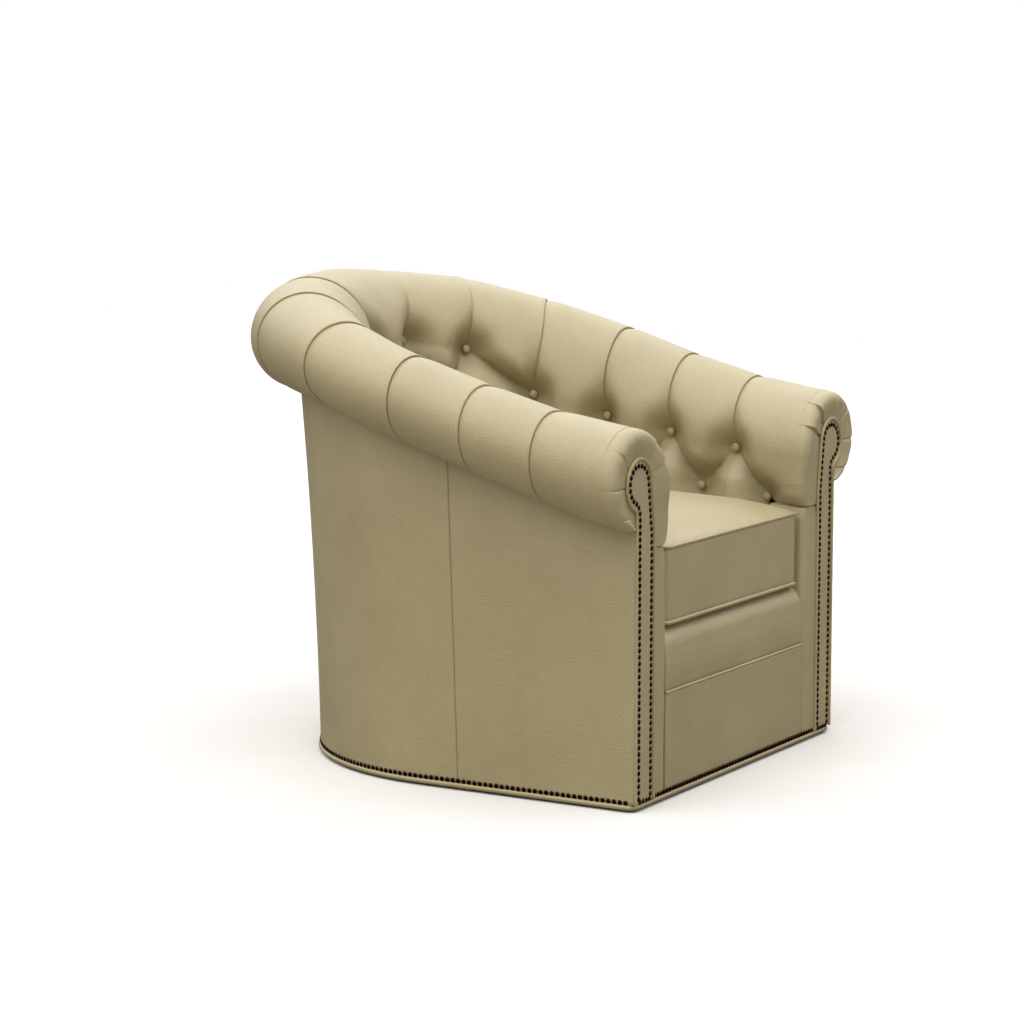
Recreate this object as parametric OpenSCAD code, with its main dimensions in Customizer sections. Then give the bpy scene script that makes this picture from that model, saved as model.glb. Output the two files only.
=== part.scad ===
// Tufted leather tub chair on a concealed swivel base.
// Millimetres. +Z is up and the chair faces -Y. The origin is on the floor at the swivel axis.

/* [Tub] */
// Half width of the outer panels
tub_half_w = 390; // [370:1:420]
// Distance from the swivel axis to the front faces
front_reach = 471; // [450:1:499]
// How far in front of the swivel axis the round back has its centre
arc_set = 44; // [20:1:60]
// Gap between the floor and the lowest welt
floor_gap = 4; // [3:1:12]
// How far the outer back leans out at the top
back_flare = 32; // [5:1:45]
// Thickness of the outer panels
panel_t = 3; // [2:0.5:5]
// Distance from the front faces to the seam of each outer panel
seam_set = 347; // [280:1:400]

/* [Roll] */
// Height of the roll's crest at the front
crest_front = 645; // [630:1:665]
// Height of the roll's crest at the middle of the back
crest_back = 870; // [850:1:900]
// Half width of the roll along the arms
arm_roll_a = 86; // [76:1:92]
// Half height of the roll along the arms
arm_roll_b = 74; // [68:1:80]
// Half width of the roll at the back
back_roll_a = 99; // [90:1:108]
// Half height of the roll at the back
back_roll_b = 100; // [90:1:108]
// How much the roll swells at its front end
end_swell = 8; // [0:1:12]
// Distance of the crest inside the outer panel, along the arms
arm_crest_in = 6; // [2:1:12]
// Distance of the crest outside the foot of the outer panel, at the back
back_crest_out = 34; // [15:1:42]
// Radius of the round over the roll's front end
end_round = 20; // [14:1:30]

/* [Tufting] */
// Distance from the front faces to the first pleat
first_pleat = 159; // [140:1:175]
// Distance between neighbouring pleats along the arms
pitch = 138; // [128:1:142]
// Depth of the creases on the inside wall
crease_depth = 22; // [14:1:26]
// Depth of the pleats over the roll
pleat_depth = 6; // [3:1:10]
// Depth of the pits at the buttons
pit_depth = 26; // [20:1:30]
// Radius over which the leather sinks to a button
funnel_r = 30; // [26:1:38]
// Distance over which a lobe rises from its crease
lobe_rise = 50; // [35:1:60]
// Diameter of the covered buttons
button_d = 20; // [16:1:26]
// Thickness of the covered buttons
button_t = 9; // [6:1:12]

/* [Seat] */
// Height at which the inside wall starts to lean back
seat_z = 462; // [440:1:480]
// Distance from the middle to the inside of each arm
arm_in = 266; // [255:1:280]
// Distance from the round back's centre to the inside back, at seat height
back_in = 222; // [205:1:240]
// Thickness of the padding on the inside wall
pad_t = 52; // [46:1:56]
// Height of the deck that the cushion lies on
deck_z = 299; // [290:1:320]
// Thickness of the deck pad
deck_t = 14; // [8:1:20]
// Height of the cushion's boxing, from welt to welt
boxing_h = 130; // [110:1:140]
// How far the cushion's crown stands above its upper welt
crown_h = 28; // [16:1:36]
// Gap between the cushion and the inside wall
cushion_gap = 5; // [3:0.5:9]
// How far the cushion's front lies behind the front faces
cushion_set = 5; // [2:1:15]
// How far the boxing is drawn in between its welts
draw_in = 4; // [2:0.5:6]
// Thickness of the boxing
boxing_t = 4; // [3:0.5:6]
// Diameter of the cushion's welts
welt_d = 9; // [7:0.5:11]
// Height of the welt across the front, below the lip
lip_z = 186; // [172:1:205]

/* [Facing] */
// Distance of the facing's outer nail line from the side of the tub
facing_set = 15; // [10:1:20]
// Distance between the two nail lines of the facing
facing_w = 41; // [37:1:45]
// Radius of the facing's round top
facing_r = 36; // [32:1:40]
// Height of the centre of the facing's round top
facing_z = 557; // [545:1:570]
// Radius of the facing's neck
neck_r = 45; // [36:1:55]
// Width of the border outside the nail line
border_w = 8; // [6:1:10]
// Thickness of the facing boards
facing_t = 8; // [5:1:12]

/* [Frame] */
// Thickness of the rails and posts
rail_t = 22; // [18:1:26]
// Height of the bottom rails
rail_h = 118; // [100:1:125]
// Width of the uprights along the wall
post_w = 44; // [36:1:56]
// Height of the seat rails
seat_rail_h = 70; // [55:1:80]
// Number of seat springs
spring_n = 5; // [3:1:6]
// Distance between neighbouring seat springs
spring_pitch = 96; // [80:1:105]
// Diameter of the spring wire
wire_d = 4; // [3:0.5:5]

/* [Swivel] */
// Radius of the floor ring, to the middle of its tube
ring_r = 265; // [240:1:285]
// Diameter of the floor ring's tube
ring_d = 22; // [18:1:28]
// Height of the floor glides
glide_h = 5; // [3:1:8]
// Height of the lower bearing plate above the floor
hub_z = 62; // [58:1:75]
// Thickness of the bearing plates
plate_t = 6; // [5:1:8]
// Radius of the ball track
track_r = 70; // [60:1:78]
// Diameter of the bearing balls
ball_d = 8; // [7:0.5:10]
// Number of bearing balls
ball_n = 16; // [10:1:20]
// Diameter of the swivel spindle
spindle_d = 16; // [12:1:20]
// Half the distance between the plate bolts
bolt_set = 80; // [78:1:90]
// Diameter of the plate bolts
bolt_d = 8; // [6:1:10]
// Thickness of the mounting board
board_t = 18; // [15:1:24]
// How far the mounting board stands out round the upper bearing plate
board_margin = 60; // [45:1:75]
// Width of the cross rails on the mounting board
cross_w = 44; // [36:1:56]

/* [Hidden] */

// Colours
leather = "#b8aa80";
welt_leather = "#a89a70";
black_steel = "#2c2c2e";
bright_steel = "#b4b6ba";
hardwood = "#c9a878";
plywood = "#d8bf94";
foam = "#e8e0c0";
black_cloth = "#3a3a3c";

// Clearances
soft_gap = 0.3;
run_gap = 0.06;
seat_gap = 0.4;
rail_gap = 0.9;
fine = 64;

// Nail lines of the facing
facing_out = tub_half_w - facing_set;
facing_in = facing_out - facing_w;

// Stations along the tub: 0 is the first pleat on the right arm, 11 the first on the left arm,
// and 2 to 9 go round the back. The half net is mirrored about station 5.5.
last_pleat = 11;
middle = last_pleat / 2;
front_p = -first_pleat / pitch;
arc_p = (front_reach - arc_set - first_pleat) / pitch;
pleat_turns = [
    [arc_p, 0], [2, 1.6], [3, 28], [4, 51.5], [5, 76],
    [6, 104], [7, 128.5], [8, 152], [9, 178.4], [last_pleat - arc_p, 180]
];
seam_p = (seam_set - first_pleat) / pitch;
unroll_r = 300;

function half_p(p) = min(p, last_pleat - p);
function ease(t) = (1 - cos(180 * min(max(t, 0), 1))) / 2;
function mix(a, b, t) = a + (b - a) * t;
function turn(p) = lookup(p, pleat_turns);
function station_y(p) = -front_reach + first_pleat + pitch * p;
function p_at(set) = (set - first_pleat) / pitch;

// Point in plan at station p and radius r
function plan(p, r) =
    p < arc_p ? [r, station_y(p)]
    : p > last_pleat - arc_p ? [-r, station_y(last_pleat - p)]
    : [r * cos(turn(p)), r * sin(turn(p)) - arc_set];
function place(p, rz) = let (q = plan(p, rz[0])) [q[0], q[1], rz[1]];

// Heights and radii along the tub, by station of the right half
function back_share(m) = ease((m - 2.8) / 2.4);
crest_shares = [
    [front_p, 0], [0, 0.115], [1, 0.28], [2, 0.475],
    [3, 0.7], [4, 0.89], [5, 0.97], [middle, 1]
];
function crest_z(m) = mix(crest_front, crest_back, lookup(m, crest_shares));
function swell(m) = end_swell * exp(-pow((m - front_p) / 0.5, 2));
function roll_a(m) = mix(arm_roll_a, back_roll_a, back_share(m)) + swell(m) / 4;
function roll_b(m) = mix(arm_roll_b, back_roll_b, back_share(m)) + swell(m);
function crest_r(m) = tub_half_w + mix(-arm_crest_in, back_crest_out, ease((m - 2) / 3.5));
function roll_low(m) = crest_z(m) - 2 * roll_b(m);
function flare(m) = back_flare * ease((m - 0.5) / 4.5);
function panel_r(m, z) = tub_half_w + flare(m) * pow(max(z - floor_gap, 0) / (crest_back - 220), 1.6);
function wall_r(m, z) =
    let (s = ease((m - 1.5) / 3.5), h = max(z - seat_z, 0)) mix(arm_in + 0.06 * h, back_in + 0.29 * h, s);
function pad_back(m, z) =
    let (s = ease((m - 1.5) / 3.5)) wall_r(m, seat_z) + pad_t + 0.29 * s * max(z - seat_z, 0);

// Heights of the three rows of buttons
row_1 = [[front_p, 531], [0, 542], [1, 564], [2, 587], [3, 624], [4, 711], [5, 733], [middle, 736]];
row_2 = [
    [front_p, 454], [-0.5, 454], [0.5, 467], [1.5, 484],
    [2.5, 509], [3.5, 563], [4.5, 629], [middle, 642]
];
row_3 = [[front_p, 380], [2.5, 420], [11 / 3, 541], [5, 549], [middle, 547]];
function row_z(row, m) = lookup(m, row);
top_buttons = [0, 1, 2, 3, 4, 5];
second_buttons = [-0.5, 0.5, 1.5, 2.5, 4.5, middle];
third_buttons = [11 / 3, 5];
buttons = concat(
    [for (m = top_buttons) [m, row_z(row_1, m)]],
    [for (m = second_buttons) [m, row_z(row_2, m)]],
    [for (m = third_buttons) [m, row_z(row_3, m)]]
);

// Creases as pairs of ends, each [station, height]
function b1(m) = [m, row_z(row_1, m)];
function b2(m) = [m, row_z(row_2, m)];
function b3(m) = [m, row_z(row_3, m)];
creases = concat(
    [for (m = top_buttons) [b1(m), [m, 2000]]],
    [for (m = [0, 1, 2]) each [[b1(m), b2(m - 0.5)], [b1(m), b2(m + 0.5)]]],
    [[b1(3), b2(2.5)], [b1(3), b1(4)], [b1(4), b2(4.5)], [b1(5), b2(4.5)], [b1(5), b2(middle)]],
    [[b1(3), b3(11 / 3)], [b2(4.5), b3(11 / 3)], [b2(4.5), b3(5)], [b2(middle), b3(5)]],
    [[b2(-0.5), b2(front_p)]],
    [for (m = [-0.5, 0.5, 1.5, 2.5]) [b2(m), [m, 200]]],
    [for (m = third_buttons) [b3(m), [m, 200]]]
);

// Length along the wall, at which creases are measured
function unrolled(m) = pitch * min(m, arc_p) + unroll_r * turn(m) * PI / 180;
function flat(c) = [unrolled(c[0]), c[1]];
flat_creases = [for (c = creases) [flat(c[0]), flat(c[1])]];
flat_buttons = [for (b = buttons) flat(b)];
function to_segment(q, s) =
    let (d = s[1] - s[0], t = min(max((q - s[0]) * d / (d * d), 0), 1)) norm(q - s[0] - t * d);
function crease_gap(q) = min([for (s = flat_creases) to_segment(q, s)]);
function button_gap(q) = min([for (b = flat_buttons) norm(q - b)]);

// Depth of the leather under its smooth form, at station m and height v up the wall and over the roll
function tuft(m, v) =
    let (
        q = [unrolled(m), v],
        over = max(v - row_z(row_1, m), 0),
        deep = pleat_depth + (crease_depth - pleat_depth) * exp(-pow(over / 60, 2)),
        t = min(crease_gap(q) / lobe_rise, 1),
        funnel = exp(-pow(button_gap(q) / funnel_r, 2))
    )
    mix(deep * (1 - sqrt(1 - (1 - t) * (1 - t))), pit_depth, funnel);

// Inset that rounds the front end over
function end_inset(m) =
    let (d = min(max((m - front_p) * pitch, 0), end_round))
    end_round - sqrt(pow(end_round, 2) - pow(end_round - d, 2));

// Stations from p0 to p1, every sixth of the distance between two pleats
split = 0.003;
function stations(p0, p1) =
    concat([p0], [for (i = [ceil(6 * p0 + 0.1) : floor(6 * p1 - 0.1)]) i / 6], [p1]);

wall_low = deck_z - 6;
crease_z = row_2[0][1];
rail_rise = 58;
wall_steps = 3;
rise_steps = 5;
roll_steps = 8;

// Outline of the padding at station p, as [radius, height]: up the wall, over the roll, back inside
function pad_ring(p, rows) =
    let (
        m = half_p(p),
        inset = end_inset(m),
        low = m < -0.5 ? crease_z : wall_low,
        z1 = row_z(row_1, m),
        z2 = row_z(row_2, m),
        z3 = row_z(row_3, m),
        r1 = wall_r(m, z1),
        rc = crest_r(m),
        zc = crest_z(m),
        a = roll_a(m),
        b = roll_b(m),
        rp = panel_r(m, roll_low(m) + post_lap) + 0.6,
        end_turn = 180 - asin(min(max((rp - rc) / a, 0), 1)),
        feet = rows == 3 ? [low, max(z3, low + 1)] : [low, max(mix(low, z2, 0.5), low + 1)],
        mids = rows == 3
            ? [for (i = [1 : wall_steps]) mix(max(z3, low + 1), z2, i / wall_steps)]
            : [max(z2, low + 2)],
        tops = [for (i = [1 : wall_steps - 1]) mix(max(z2, low + 2), z1, i / wall_steps)],
        wall = [for (z = concat(feet, mids, tops)) [wall_r(m, z) + tuft(m, z) + inset, z]],
        rise = [
            for (i = [0 : rise_steps - 1])
                let (t = 90 * i / rise_steps, d = tuft(m, z1 + (zc - z1) * sin(t)) + inset)
                [rc - (rc - r1) * cos(t) + d * cos(t), z1 + (zc - z1) * sin(t) - d * sin(t)]
        ],
        roll = [
            for (i = [0 : roll_steps])
                let (t = end_turn * i / roll_steps, d = (tuft(m, 2000) + inset) * min(1, 1.6 * cos(t / 2)))
                [rc + (a - d) * sin(t), zc - b + (b - d) * cos(t)]
        ],
        end = roll[roll_steps],
        top = roll_low(m) + rail_rise,
        bend = rows == 3 ? seat_z : mix(low, top, 0.5)
    )
    concat(
        wall, rise, roll,
        [[end[0], top], [pad_back(m, top), top], [pad_back(m, bend) - 1, bend], [pad_back(m, low), low]]
    );

// Solid between rings of points. Its flat ends are closed by the triangles in cap, which hold
// indices into a ring, or by a fan from the ring's first point.
module skin(rings, cap = [], loop = false) {
    n = len(rings[0]);
    k = len(rings);
    spans = loop ? k : k - 1;
    last = (k - 1) * n;
    lid = len(cap) > 0 ? cap : [for (i = [1 : n - 2]) [0, i, i + 1]];
    ends = loop ? [] : [for (t = lid) each [[t[2], t[1], t[0]], [last + t[0], last + t[1], last + t[2]]]];
    sides = [
        for (j = [0 : spans - 1], i = [0 : n - 1])
            let (a = j * n, b = ((j + 1) % k) * n, i2 = (i + 1) % n)
            each [[a + i, a + i2, b + i2], [a + i, b + i2, b + i]]
    ];
    polyhedron([for (r = rings) each r], concat(ends, sides), convexity = 8);
}

// Lid across a ring whose second half runs back beside the first
function strip_cap(n) = [
    for (i = [0 : n / 2 - 2])
        let (j = n - 1 - i)
        each [[i, i + 1, j - 1], [i, j - 1, j]]
];

// Round tube along points, with `up` square to the plane that they lie in
function tube_rings(path, r, n, up, loop) =
    let (k = len(path))
    [
        for (i = [0 : k - 1])
            let (
                before = path[loop ? (i + k - 1) % k : max(i - 1, 0)],
                after = path[loop ? (i + 1) % k : min(i + 1, k - 1)],
                along = (after - before) / norm(after - before),
                side = cross(up, along)
            )
            [for (j = [0 : n - 1]) path[i] + r * (side * cos(360 * j / n) - up * sin(360 * j / n))]
    ];
module tube(path, r, n, up, loop = false) {
    skin(tube_rings(path, r, n, up, loop), loop = loop);
}

module flat_plate(points, z0, z1) {
    translate([0, 0, z0])
        linear_extrude(z1 - z0)
            polygon(points);
}

module both_sides() {
    children();
    mirror([1, 0, 0])
        children();
}

// Closed outline of the cushion, by station; e moves it in
cushion_p = concat(
    [for (i = [0 : 4]) mix(p_at(12), 2, i / 5)],
    [for (i = [0 : 35]) 2 + 7 * i / 35],
    [for (i = [1 : 5]) 9 + mix(0, 2 - p_at(12), i / 5)]
);
cushion_front = front_reach - cushion_set;
corner_r = 16;
function cushion_r(p) = wall_r(half_p(p), seat_z) - cushion_gap;
function cushion_outline(e) =
    let (w = cushion_r(0) - e, f = -cushion_front + e, r = corner_r)
    concat(
        [for (t = [-90 : 30 : 0]) [w - r + r * cos(t), f + r + r * sin(t)]],
        [for (p = cushion_p) if (p > p_at(60) && p < last_pleat - p_at(60)) plan(p, cushion_r(p) - e)],
        [for (t = [180 : 30 : 270]) [r - w + r * cos(t), f + r + r * sin(t)]]
    );
function at_z(points, z) = [for (q = points) [q[0], q[1], z]];

// Swivel base
module base_frame() {
    arm_top = hub_z - 0.02;
    bar_t = 6;
    color(black_steel) {
        translate([0, 0, glide_h + ring_d / 2])
            rotate_extrude($fn = fine)
                translate([ring_r, 0])
                    circle(d = ring_d, $fn = fine);
        for (turn = [45 : 90 : 315])
            rotate(turn)
                rotate([90, 0, 0])
                    translate([0, 0, -15])
                        linear_extrude(30)
                            polygon([
                                [spindle_d / 2 + 6, arm_top], [spindle_d / 2 + 6, arm_top - bar_t],
                                [track_r + 22, arm_top - bar_t], [ring_r - 6, glide_h + ring_d / 2 + 2],
                                [ring_r + 2, glide_h + ring_d / 2 + 2], [track_r + 26, arm_top]
                            ]);
    }
}

module floor_glides() {
    color("#1c1c1c")
        for (turn = [0 : 45 : 315])
            rotate(turn)
                translate([ring_r, 0, 0])
                    difference() {
                        cylinder(d = 26, h = glide_h + 3, $fn = 32);
                        translate([-ring_r, 0, glide_h + ring_d / 2])
                            rotate_extrude($fn = fine)
                                translate([ring_r, 0])
                                    circle(d = ring_d + 0.1, $fn = fine);
                    }
}

ball_z = hub_z + plate_t + 3;
upper_z = ball_z + 3;
track_gap = 0.2;
module track() {
    translate([0, 0, ball_z])
        rotate_extrude($fn = fine)
            translate([track_r, 0])
                circle(d = ball_d + 2 * track_gap, $fn = fine);
}

module bearing_lower_plate() {
    color(bright_steel)
        difference() {
            translate([0, 0, hub_z])
                cylinder(r = track_r + 24, h = plate_t, $fn = fine);
            translate([0, 0, hub_z - 1])
                cylinder(d = spindle_d + 0.04, h = plate_t + 2, $fn = fine);
            track();
        }
}

nut_h = 8;
washer_t = 2;
module spindle() {
    color(bright_steel) {
        translate([0, 0, hub_z - 5])
            cylinder(d = spindle_d + 8, h = 5, $fn = fine);
        translate([0, 0, hub_z - 1])
            cylinder(d = spindle_d, h = upper_z + plate_t + washer_t + nut_h + 3 - hub_z, $fn = fine);
    }
}

module spindle_washer() {
    color(bright_steel)
        translate([0, 0, upper_z + plate_t + run_gap])
            difference() {
                cylinder(d = spindle_d + 14, h = washer_t, $fn = fine);
                translate([0, 0, -1])
                    cylinder(d = spindle_d + 0.2, h = washer_t + 2, $fn = fine);
            }
}

module spindle_nut() {
    color(bright_steel)
        translate([0, 0, upper_z + plate_t + run_gap + washer_t])
            difference() {
                cylinder(d = spindle_d + 11, h = nut_h, $fn = 6);
                translate([0, 0, -1])
                    cylinder(d = spindle_d + 0.04, h = nut_h + 2, $fn = fine);
            }
}

module each_ball() {
    for (i = [0 : ball_n - 1])
        rotate(360 * i / ball_n)
            translate([track_r, 0, ball_z])
                children();
}

module ball_cage() {
    color("#b08d4a")
        difference() {
            translate([0, 0, ball_z - 0.75])
                cylinder(r = track_r + 9, h = 1.5, $fn = fine);
            translate([0, 0, ball_z - 2])
                cylinder(r = track_r - 9, h = 4, $fn = fine);
            each_ball()
                translate([0, 0, -2])
                    cylinder(d = ball_d + 0.3, h = 4, $fn = 32);
        }
}

module bearing_balls() {
    color(bright_steel)
        each_ball()
            sphere(d = ball_d, $fn = 32);
}

plate_half = bolt_set + 18;
module at_bolts() {
    for (x = [-bolt_set, bolt_set], y = [-bolt_set, bolt_set])
        translate([x, y, 0])
            children();
}

module bearing_upper_plate() {
    color(bright_steel)
        difference() {
            translate([-plate_half, -plate_half, upper_z])
                cube([2 * plate_half, 2 * plate_half, plate_t]);
            translate([0, 0, upper_z - 1])
                cylinder(d = spindle_d + 2 * run_gap, h = plate_t + 2, $fn = fine);
            at_bolts()
                translate([0, 0, upper_z - 1])
                    cylinder(d = bolt_d + 0.6, h = plate_t + 2, $fn = 32);
            track();
        }
}

board_z = upper_z + plate_t;
module plate_bolts() {
    color(bright_steel)
        at_bolts() {
            translate([0, 0, upper_z - 5])
                cylinder(d = bolt_d + 6, h = 5, $fn = 6);
            translate([0, 0, upper_z - 1])
                cylinder(d = bolt_d, h = plate_t + board_t + 6, $fn = 32);
        }
}

board_half = plate_half + board_margin;
module mounting_board() {
    color(plywood)
        difference() {
            translate([-board_half, -board_half, board_z])
                cube([2 * board_half, 2 * board_half, board_t]);
            translate([0, 0, board_z - 1])
                cylinder(d = spindle_d + 40, h = board_t + 2, $fn = fine);
            at_bolts()
                translate([0, 0, board_z - 1])
                    cylinder(d = bolt_d + 0.6, h = board_t + 2, $fn = 32);
        }
}

// Wooden frame
base_welt_d = 9;
frame_out = tub_half_w - panel_t - seat_gap;
rail_z = floor_gap + 10;
front_back = 36;
post_y = -front_reach + front_back - rail_t;
post_in = pad_back(0, seat_z) + seat_gap;
lip_depth = 60;
// Space inside the bottom rails, less a gap
module inside_rails(z, h, gap) {
    r = frame_out - rail_t - gap;
    translate([-r, -front_reach + front_back + gap, z])
        cube([2 * r, front_reach - front_back - gap - arc_set, h]);
    translate([0, -arc_set, z])
        cylinder(r = r, h = h, $fn = fine);
}

cross_z = board_z + board_t;
cross_h = 34;
module cross_rails() {
    color(hardwood)
        intersection() {
            inside_rails(cross_z, cross_h, 0.2);
            for (y = [-board_half, board_half - cross_w])
                translate([-tub_half_w, y, cross_z])
                    cube([2 * tub_half_w, cross_w, cross_h]);
        }
}

module dust_cover() {
    z = upper_z - 7;
    color(black_cloth)
        difference() {
            inside_rails(z, 1, 0.3);
            translate([0, 0, z - 1])
                cylinder(r = track_r + 62, h = 3, $fn = fine);
            both_sides()
                translate([post_in - 0.3, post_y - 1, z - 1])
                    cube([tub_half_w, post_w + 1.3, 3]);
        }
}

module front_rail() {
    color(hardwood)
        translate([rail_t - frame_out + 0.2, -front_reach + front_back - rail_t, rail_z])
            cube([2 * (frame_out - rail_t) - 0.4, rail_t, rail_h]);
}

module side_rail() {
    color(hardwood)
        translate([frame_out - rail_t, post_y + post_w + 0.1, rail_z])
            cube([rail_t, front_reach - arc_set - front_back + rail_t - post_w - 0.2, rail_h]);
}
module side_rail_right() {
    side_rail();
}
module side_rail_left() {
    mirror([1, 0, 0])
        side_rail();
}

module back_rail() {
    color(hardwood)
        translate([0, -arc_set, rail_z])
            difference() {
                cylinder(r = frame_out, h = rail_h, $fn = fine);
                translate([0, 0, -1])
                    cylinder(r = frame_out - rail_t, h = rail_h + 2, $fn = fine);
                translate([-frame_out - 1, -2 * frame_out, -1])
                    cube([2 * frame_out + 2, 2 * frame_out, rail_h + 2]);
            }
}

post_lap = 16;
function rail_foot(m) = roll_low(m) + post_lap + 4;
module front_post() {
    color(hardwood)
        difference() {
            translate([post_in, post_y, rail_z])
                cube([frame_out - post_in, post_w, rail_foot(front_p) - seat_gap - rail_z]);
            translate([0, post_y - 1, rail_z - 1])
                cube([frame_out - rail_t, rail_t + 1.2, rail_h + 1.2]);
        }
}
module front_post_right() {
    front_post();
}
module front_post_left() {
    mirror([1, 0, 0])
        front_post();
}

// Uprights stand on the bottom rails and carry the top rail. Those of the back lean with it.
post_foot = rail_z + rail_h;
module arm_upright(p) {
    h = min([for (d = [-1, 0, 1]) rail_foot(p + d * post_w / 2 / pitch)]) - seat_gap - post_foot;
    translate([post_in, station_y(p) - post_w / 2, post_foot])
        cube([frame_out - post_in, post_w, h]);
}
module back_upright(p) {
    m = half_p(p);
    head = rail_foot(m) - 4;
    r0 = panel_r(m, post_foot);
    r1 = panel_r(m, head);
    lean = atan2(r1 - r0, head - post_foot);
    translate([0, -arc_set, 0])
        rotate(turn(p))
            intersection() {
                translate([r0 - panel_t - 7 - rail_t, -post_w / 2, post_foot])
                    rotate([0, lean, 0])
                        translate([0, 0, -20])
                            cube([rail_t, post_w, head + 60 - post_foot]);
                translate([0, -post_w, post_foot])
                    cube([2 * tub_half_w, 2 * post_w, head - post_foot]);
            }
}
module arm_uprights() {
    color(hardwood)
        both_sides() {
            arm_upright(0.55);
            arm_upright(1.55);
        }
}
module back_uprights() {
    color(hardwood) {
        both_sides()
            back_upright(3.75);
        back_upright(middle);
    }
}

// Top rail: a bent rail that follows the roll, cut at stations 2 and 9
function rail_ring(p) =
    let (
        m = half_p(p),
        z0 = rail_foot(m),
        z1 = roll_low(m) + rail_rise - rail_gap,
        r1 = panel_r(m, z0) - panel_t - 1
    )
    [
        place(p, [pad_back(m, z0) + rail_gap, z0]),
        place(p, [r1, z0]),
        place(p, [r1, z1]),
        place(p, [pad_back(m, z1) + rail_gap, z1])
    ];
module top_rail(ps) {
    color(hardwood)
        skin([for (p = ps) rail_ring(p)]);
}
rail_start = p_at(post_y + front_reach);
module top_rail_right() {
    top_rail(concat([rail_start], [for (p = arm_p) if (p > rail_start && p < 2) p], [2 - split]));
}
module top_rail_left() {
    mirror([1, 0, 0])
        top_rail_right();
}
module top_rail_back() {
    top_rail(stations(2 + split, 9 - split));
}

// Seat frame and springs
seat_rail_z = deck_z - deck_t - 10 - seat_rail_h;
seat_in = arm_in + 10;
module seat_front_rail() {
    color(hardwood)
        translate([-seat_in, post_y, seat_rail_z])
            cube([2 * seat_in, rail_t, seat_rail_h]);
}
back_rail_y = back_in - arc_set - 40;
module seat_back_rail() {
    color(hardwood)
        translate([-seat_in, back_rail_y, seat_rail_z])
            cube([2 * seat_in, rail_t, seat_rail_h]);
}
module seat_side_rails() {
    color(hardwood)
        both_sides()
            translate([seat_in + 0.2, post_y, seat_rail_z])
                cube([post_in - 0.2 - seat_in - 0.2, back_rail_y + rail_t - post_y, seat_rail_h]);
}

spring_z = seat_rail_z + seat_rail_h + wire_d / 2 + 1.5;
spring_y0 = post_y + 14;
spring_y1 = back_rail_y + rail_t - 8;
spring_turns = 11;
wave_n = 6;
function spring_point(i) =
    let (n = spring_turns * wave_n, t = i / n)
    [
        26 * sin(360 * i / wave_n),
        mix(spring_y0, spring_y1, t) + 5 * sin(720 * i / wave_n),
        spring_z + 4 * sin(180 * t)
    ];
module each_spring() {
    for (i = [0 : spring_n - 1])
        translate([(i - (spring_n - 1) / 2) * spring_pitch, 0, 0])
            children();
}
module seat_springs() {
    color(bright_steel)
        each_spring()
            tube([for (i = [0 : spring_turns * wave_n]) spring_point(i)], wire_d / 2, 4, [0, 0, 1]);
}

module spring_clips() {
    color(black_steel)
        each_spring()
            for (y = [spring_y0, spring_y1])
                translate([-8, y - 5, seat_rail_z + seat_rail_h])
                    cube([16, 10, 1.2]);
}

module deck_pad() {
    color(black_cloth)
        difference() {
            flat_plate(cushion_outline(2), deck_z - deck_t, deck_z);
            translate([-arm_in, -front_reach - 1, deck_z - deck_t - 1])
                cube([2 * arm_in, lip_depth + 4 + seat_gap, deck_t + 2]);
        }
}

// Front of the seat
front_half = arm_in + 5;
arm_front_z = floor_gap + base_welt_d + 1;
lip_steps = 8;
function lip_ring(x, e) =
    let (
        y0 = -front_reach + 3 + e,
        back = -front_reach + 3 + lip_depth,
        z0 = lip_z + 5,
        z1 = deck_z - 0.5 - e,
        over = seat_rail_z + seat_rail_h + soft_gap,
        r = 26,
        bulge = 4
    )
    concat(
        [[x, post_y - soft_gap, over], [x, post_y - soft_gap, z0], [x, y0 + 2, z0]],
        [[x, y0 - bulge * 0.5, mix(z0, z1 - r, 0.4)], [x, y0 - bulge * 0.6, mix(z0, z1 - r, 0.8)]],
        [
            for (i = [0 : lip_steps])
                let (t = 90 * i / lip_steps)
                [x, y0 + r - (r + 2) * cos(t), z1 - r + r * sin(t)]
        ],
        [[x, back, z1], [x, back, deck_z - deck_t], [x, post_y + 8, deck_z - deck_t], [x, post_y + 8, over]]
    );
module front_lip() {
    h = front_half - 1;
    color(leather)
        skin([
            for (s = [[-h, 7], [6 - h, 2.5], [18 - h, 0], [h - 18, 0], [h - 6, 2.5], [h, 7]])
                lip_ring(s[0], s[1])
        ]);
}

module front_border() {
    color(leather)
        translate([-front_half + 1, -front_reach + 2, arm_front_z])
            cube([2 * front_half - 2, 12, lip_z - 5 - arm_front_z]);
}

module front_welt() {
    color(welt_leather)
        translate([-front_half + 1, -front_reach + 3.5, lip_z])
            rotate([0, 90, 0])
                cylinder(d = 8.5, h = 2 * front_half - 2, $fn = 24);
}

// Padded front of each arm. Above the deck it runs back along the seat, as far as the tufting.
arm_front_r = 18;
module arm_front() {
    x0 = front_half;
    y0 = -front_reach;
    back = post_y - seat_gap;
    round_corner = [
        for (i = [0 : 8])
            let (t = 180 + 90 * i / 8)
            [x0 + arm_front_r + arm_front_r * cos(t), y0 + 12 + 12 * sin(t)]
    ];
    front = concat(round_corner, [[frame_out - 6, y0], [frame_out, y0 + 6]]);
    wall_end = station_y(-0.5) - 1;
    color(leather) {
        flat_plate(concat(front, [[frame_out, back], [x0, back]]), arm_front_z, crease_z - seat_gap);
        difference() {
            flat_plate(
                [
                    [x0, back - 2], [post_in - seat_gap, back - 2],
                    [post_in - seat_gap, wall_end], [x0 + 2, wall_end]
                ],
                deck_z, crease_z - seat_gap
            );
            each_button([-1, 0])
                button_pit();
        }
    }
}
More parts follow.
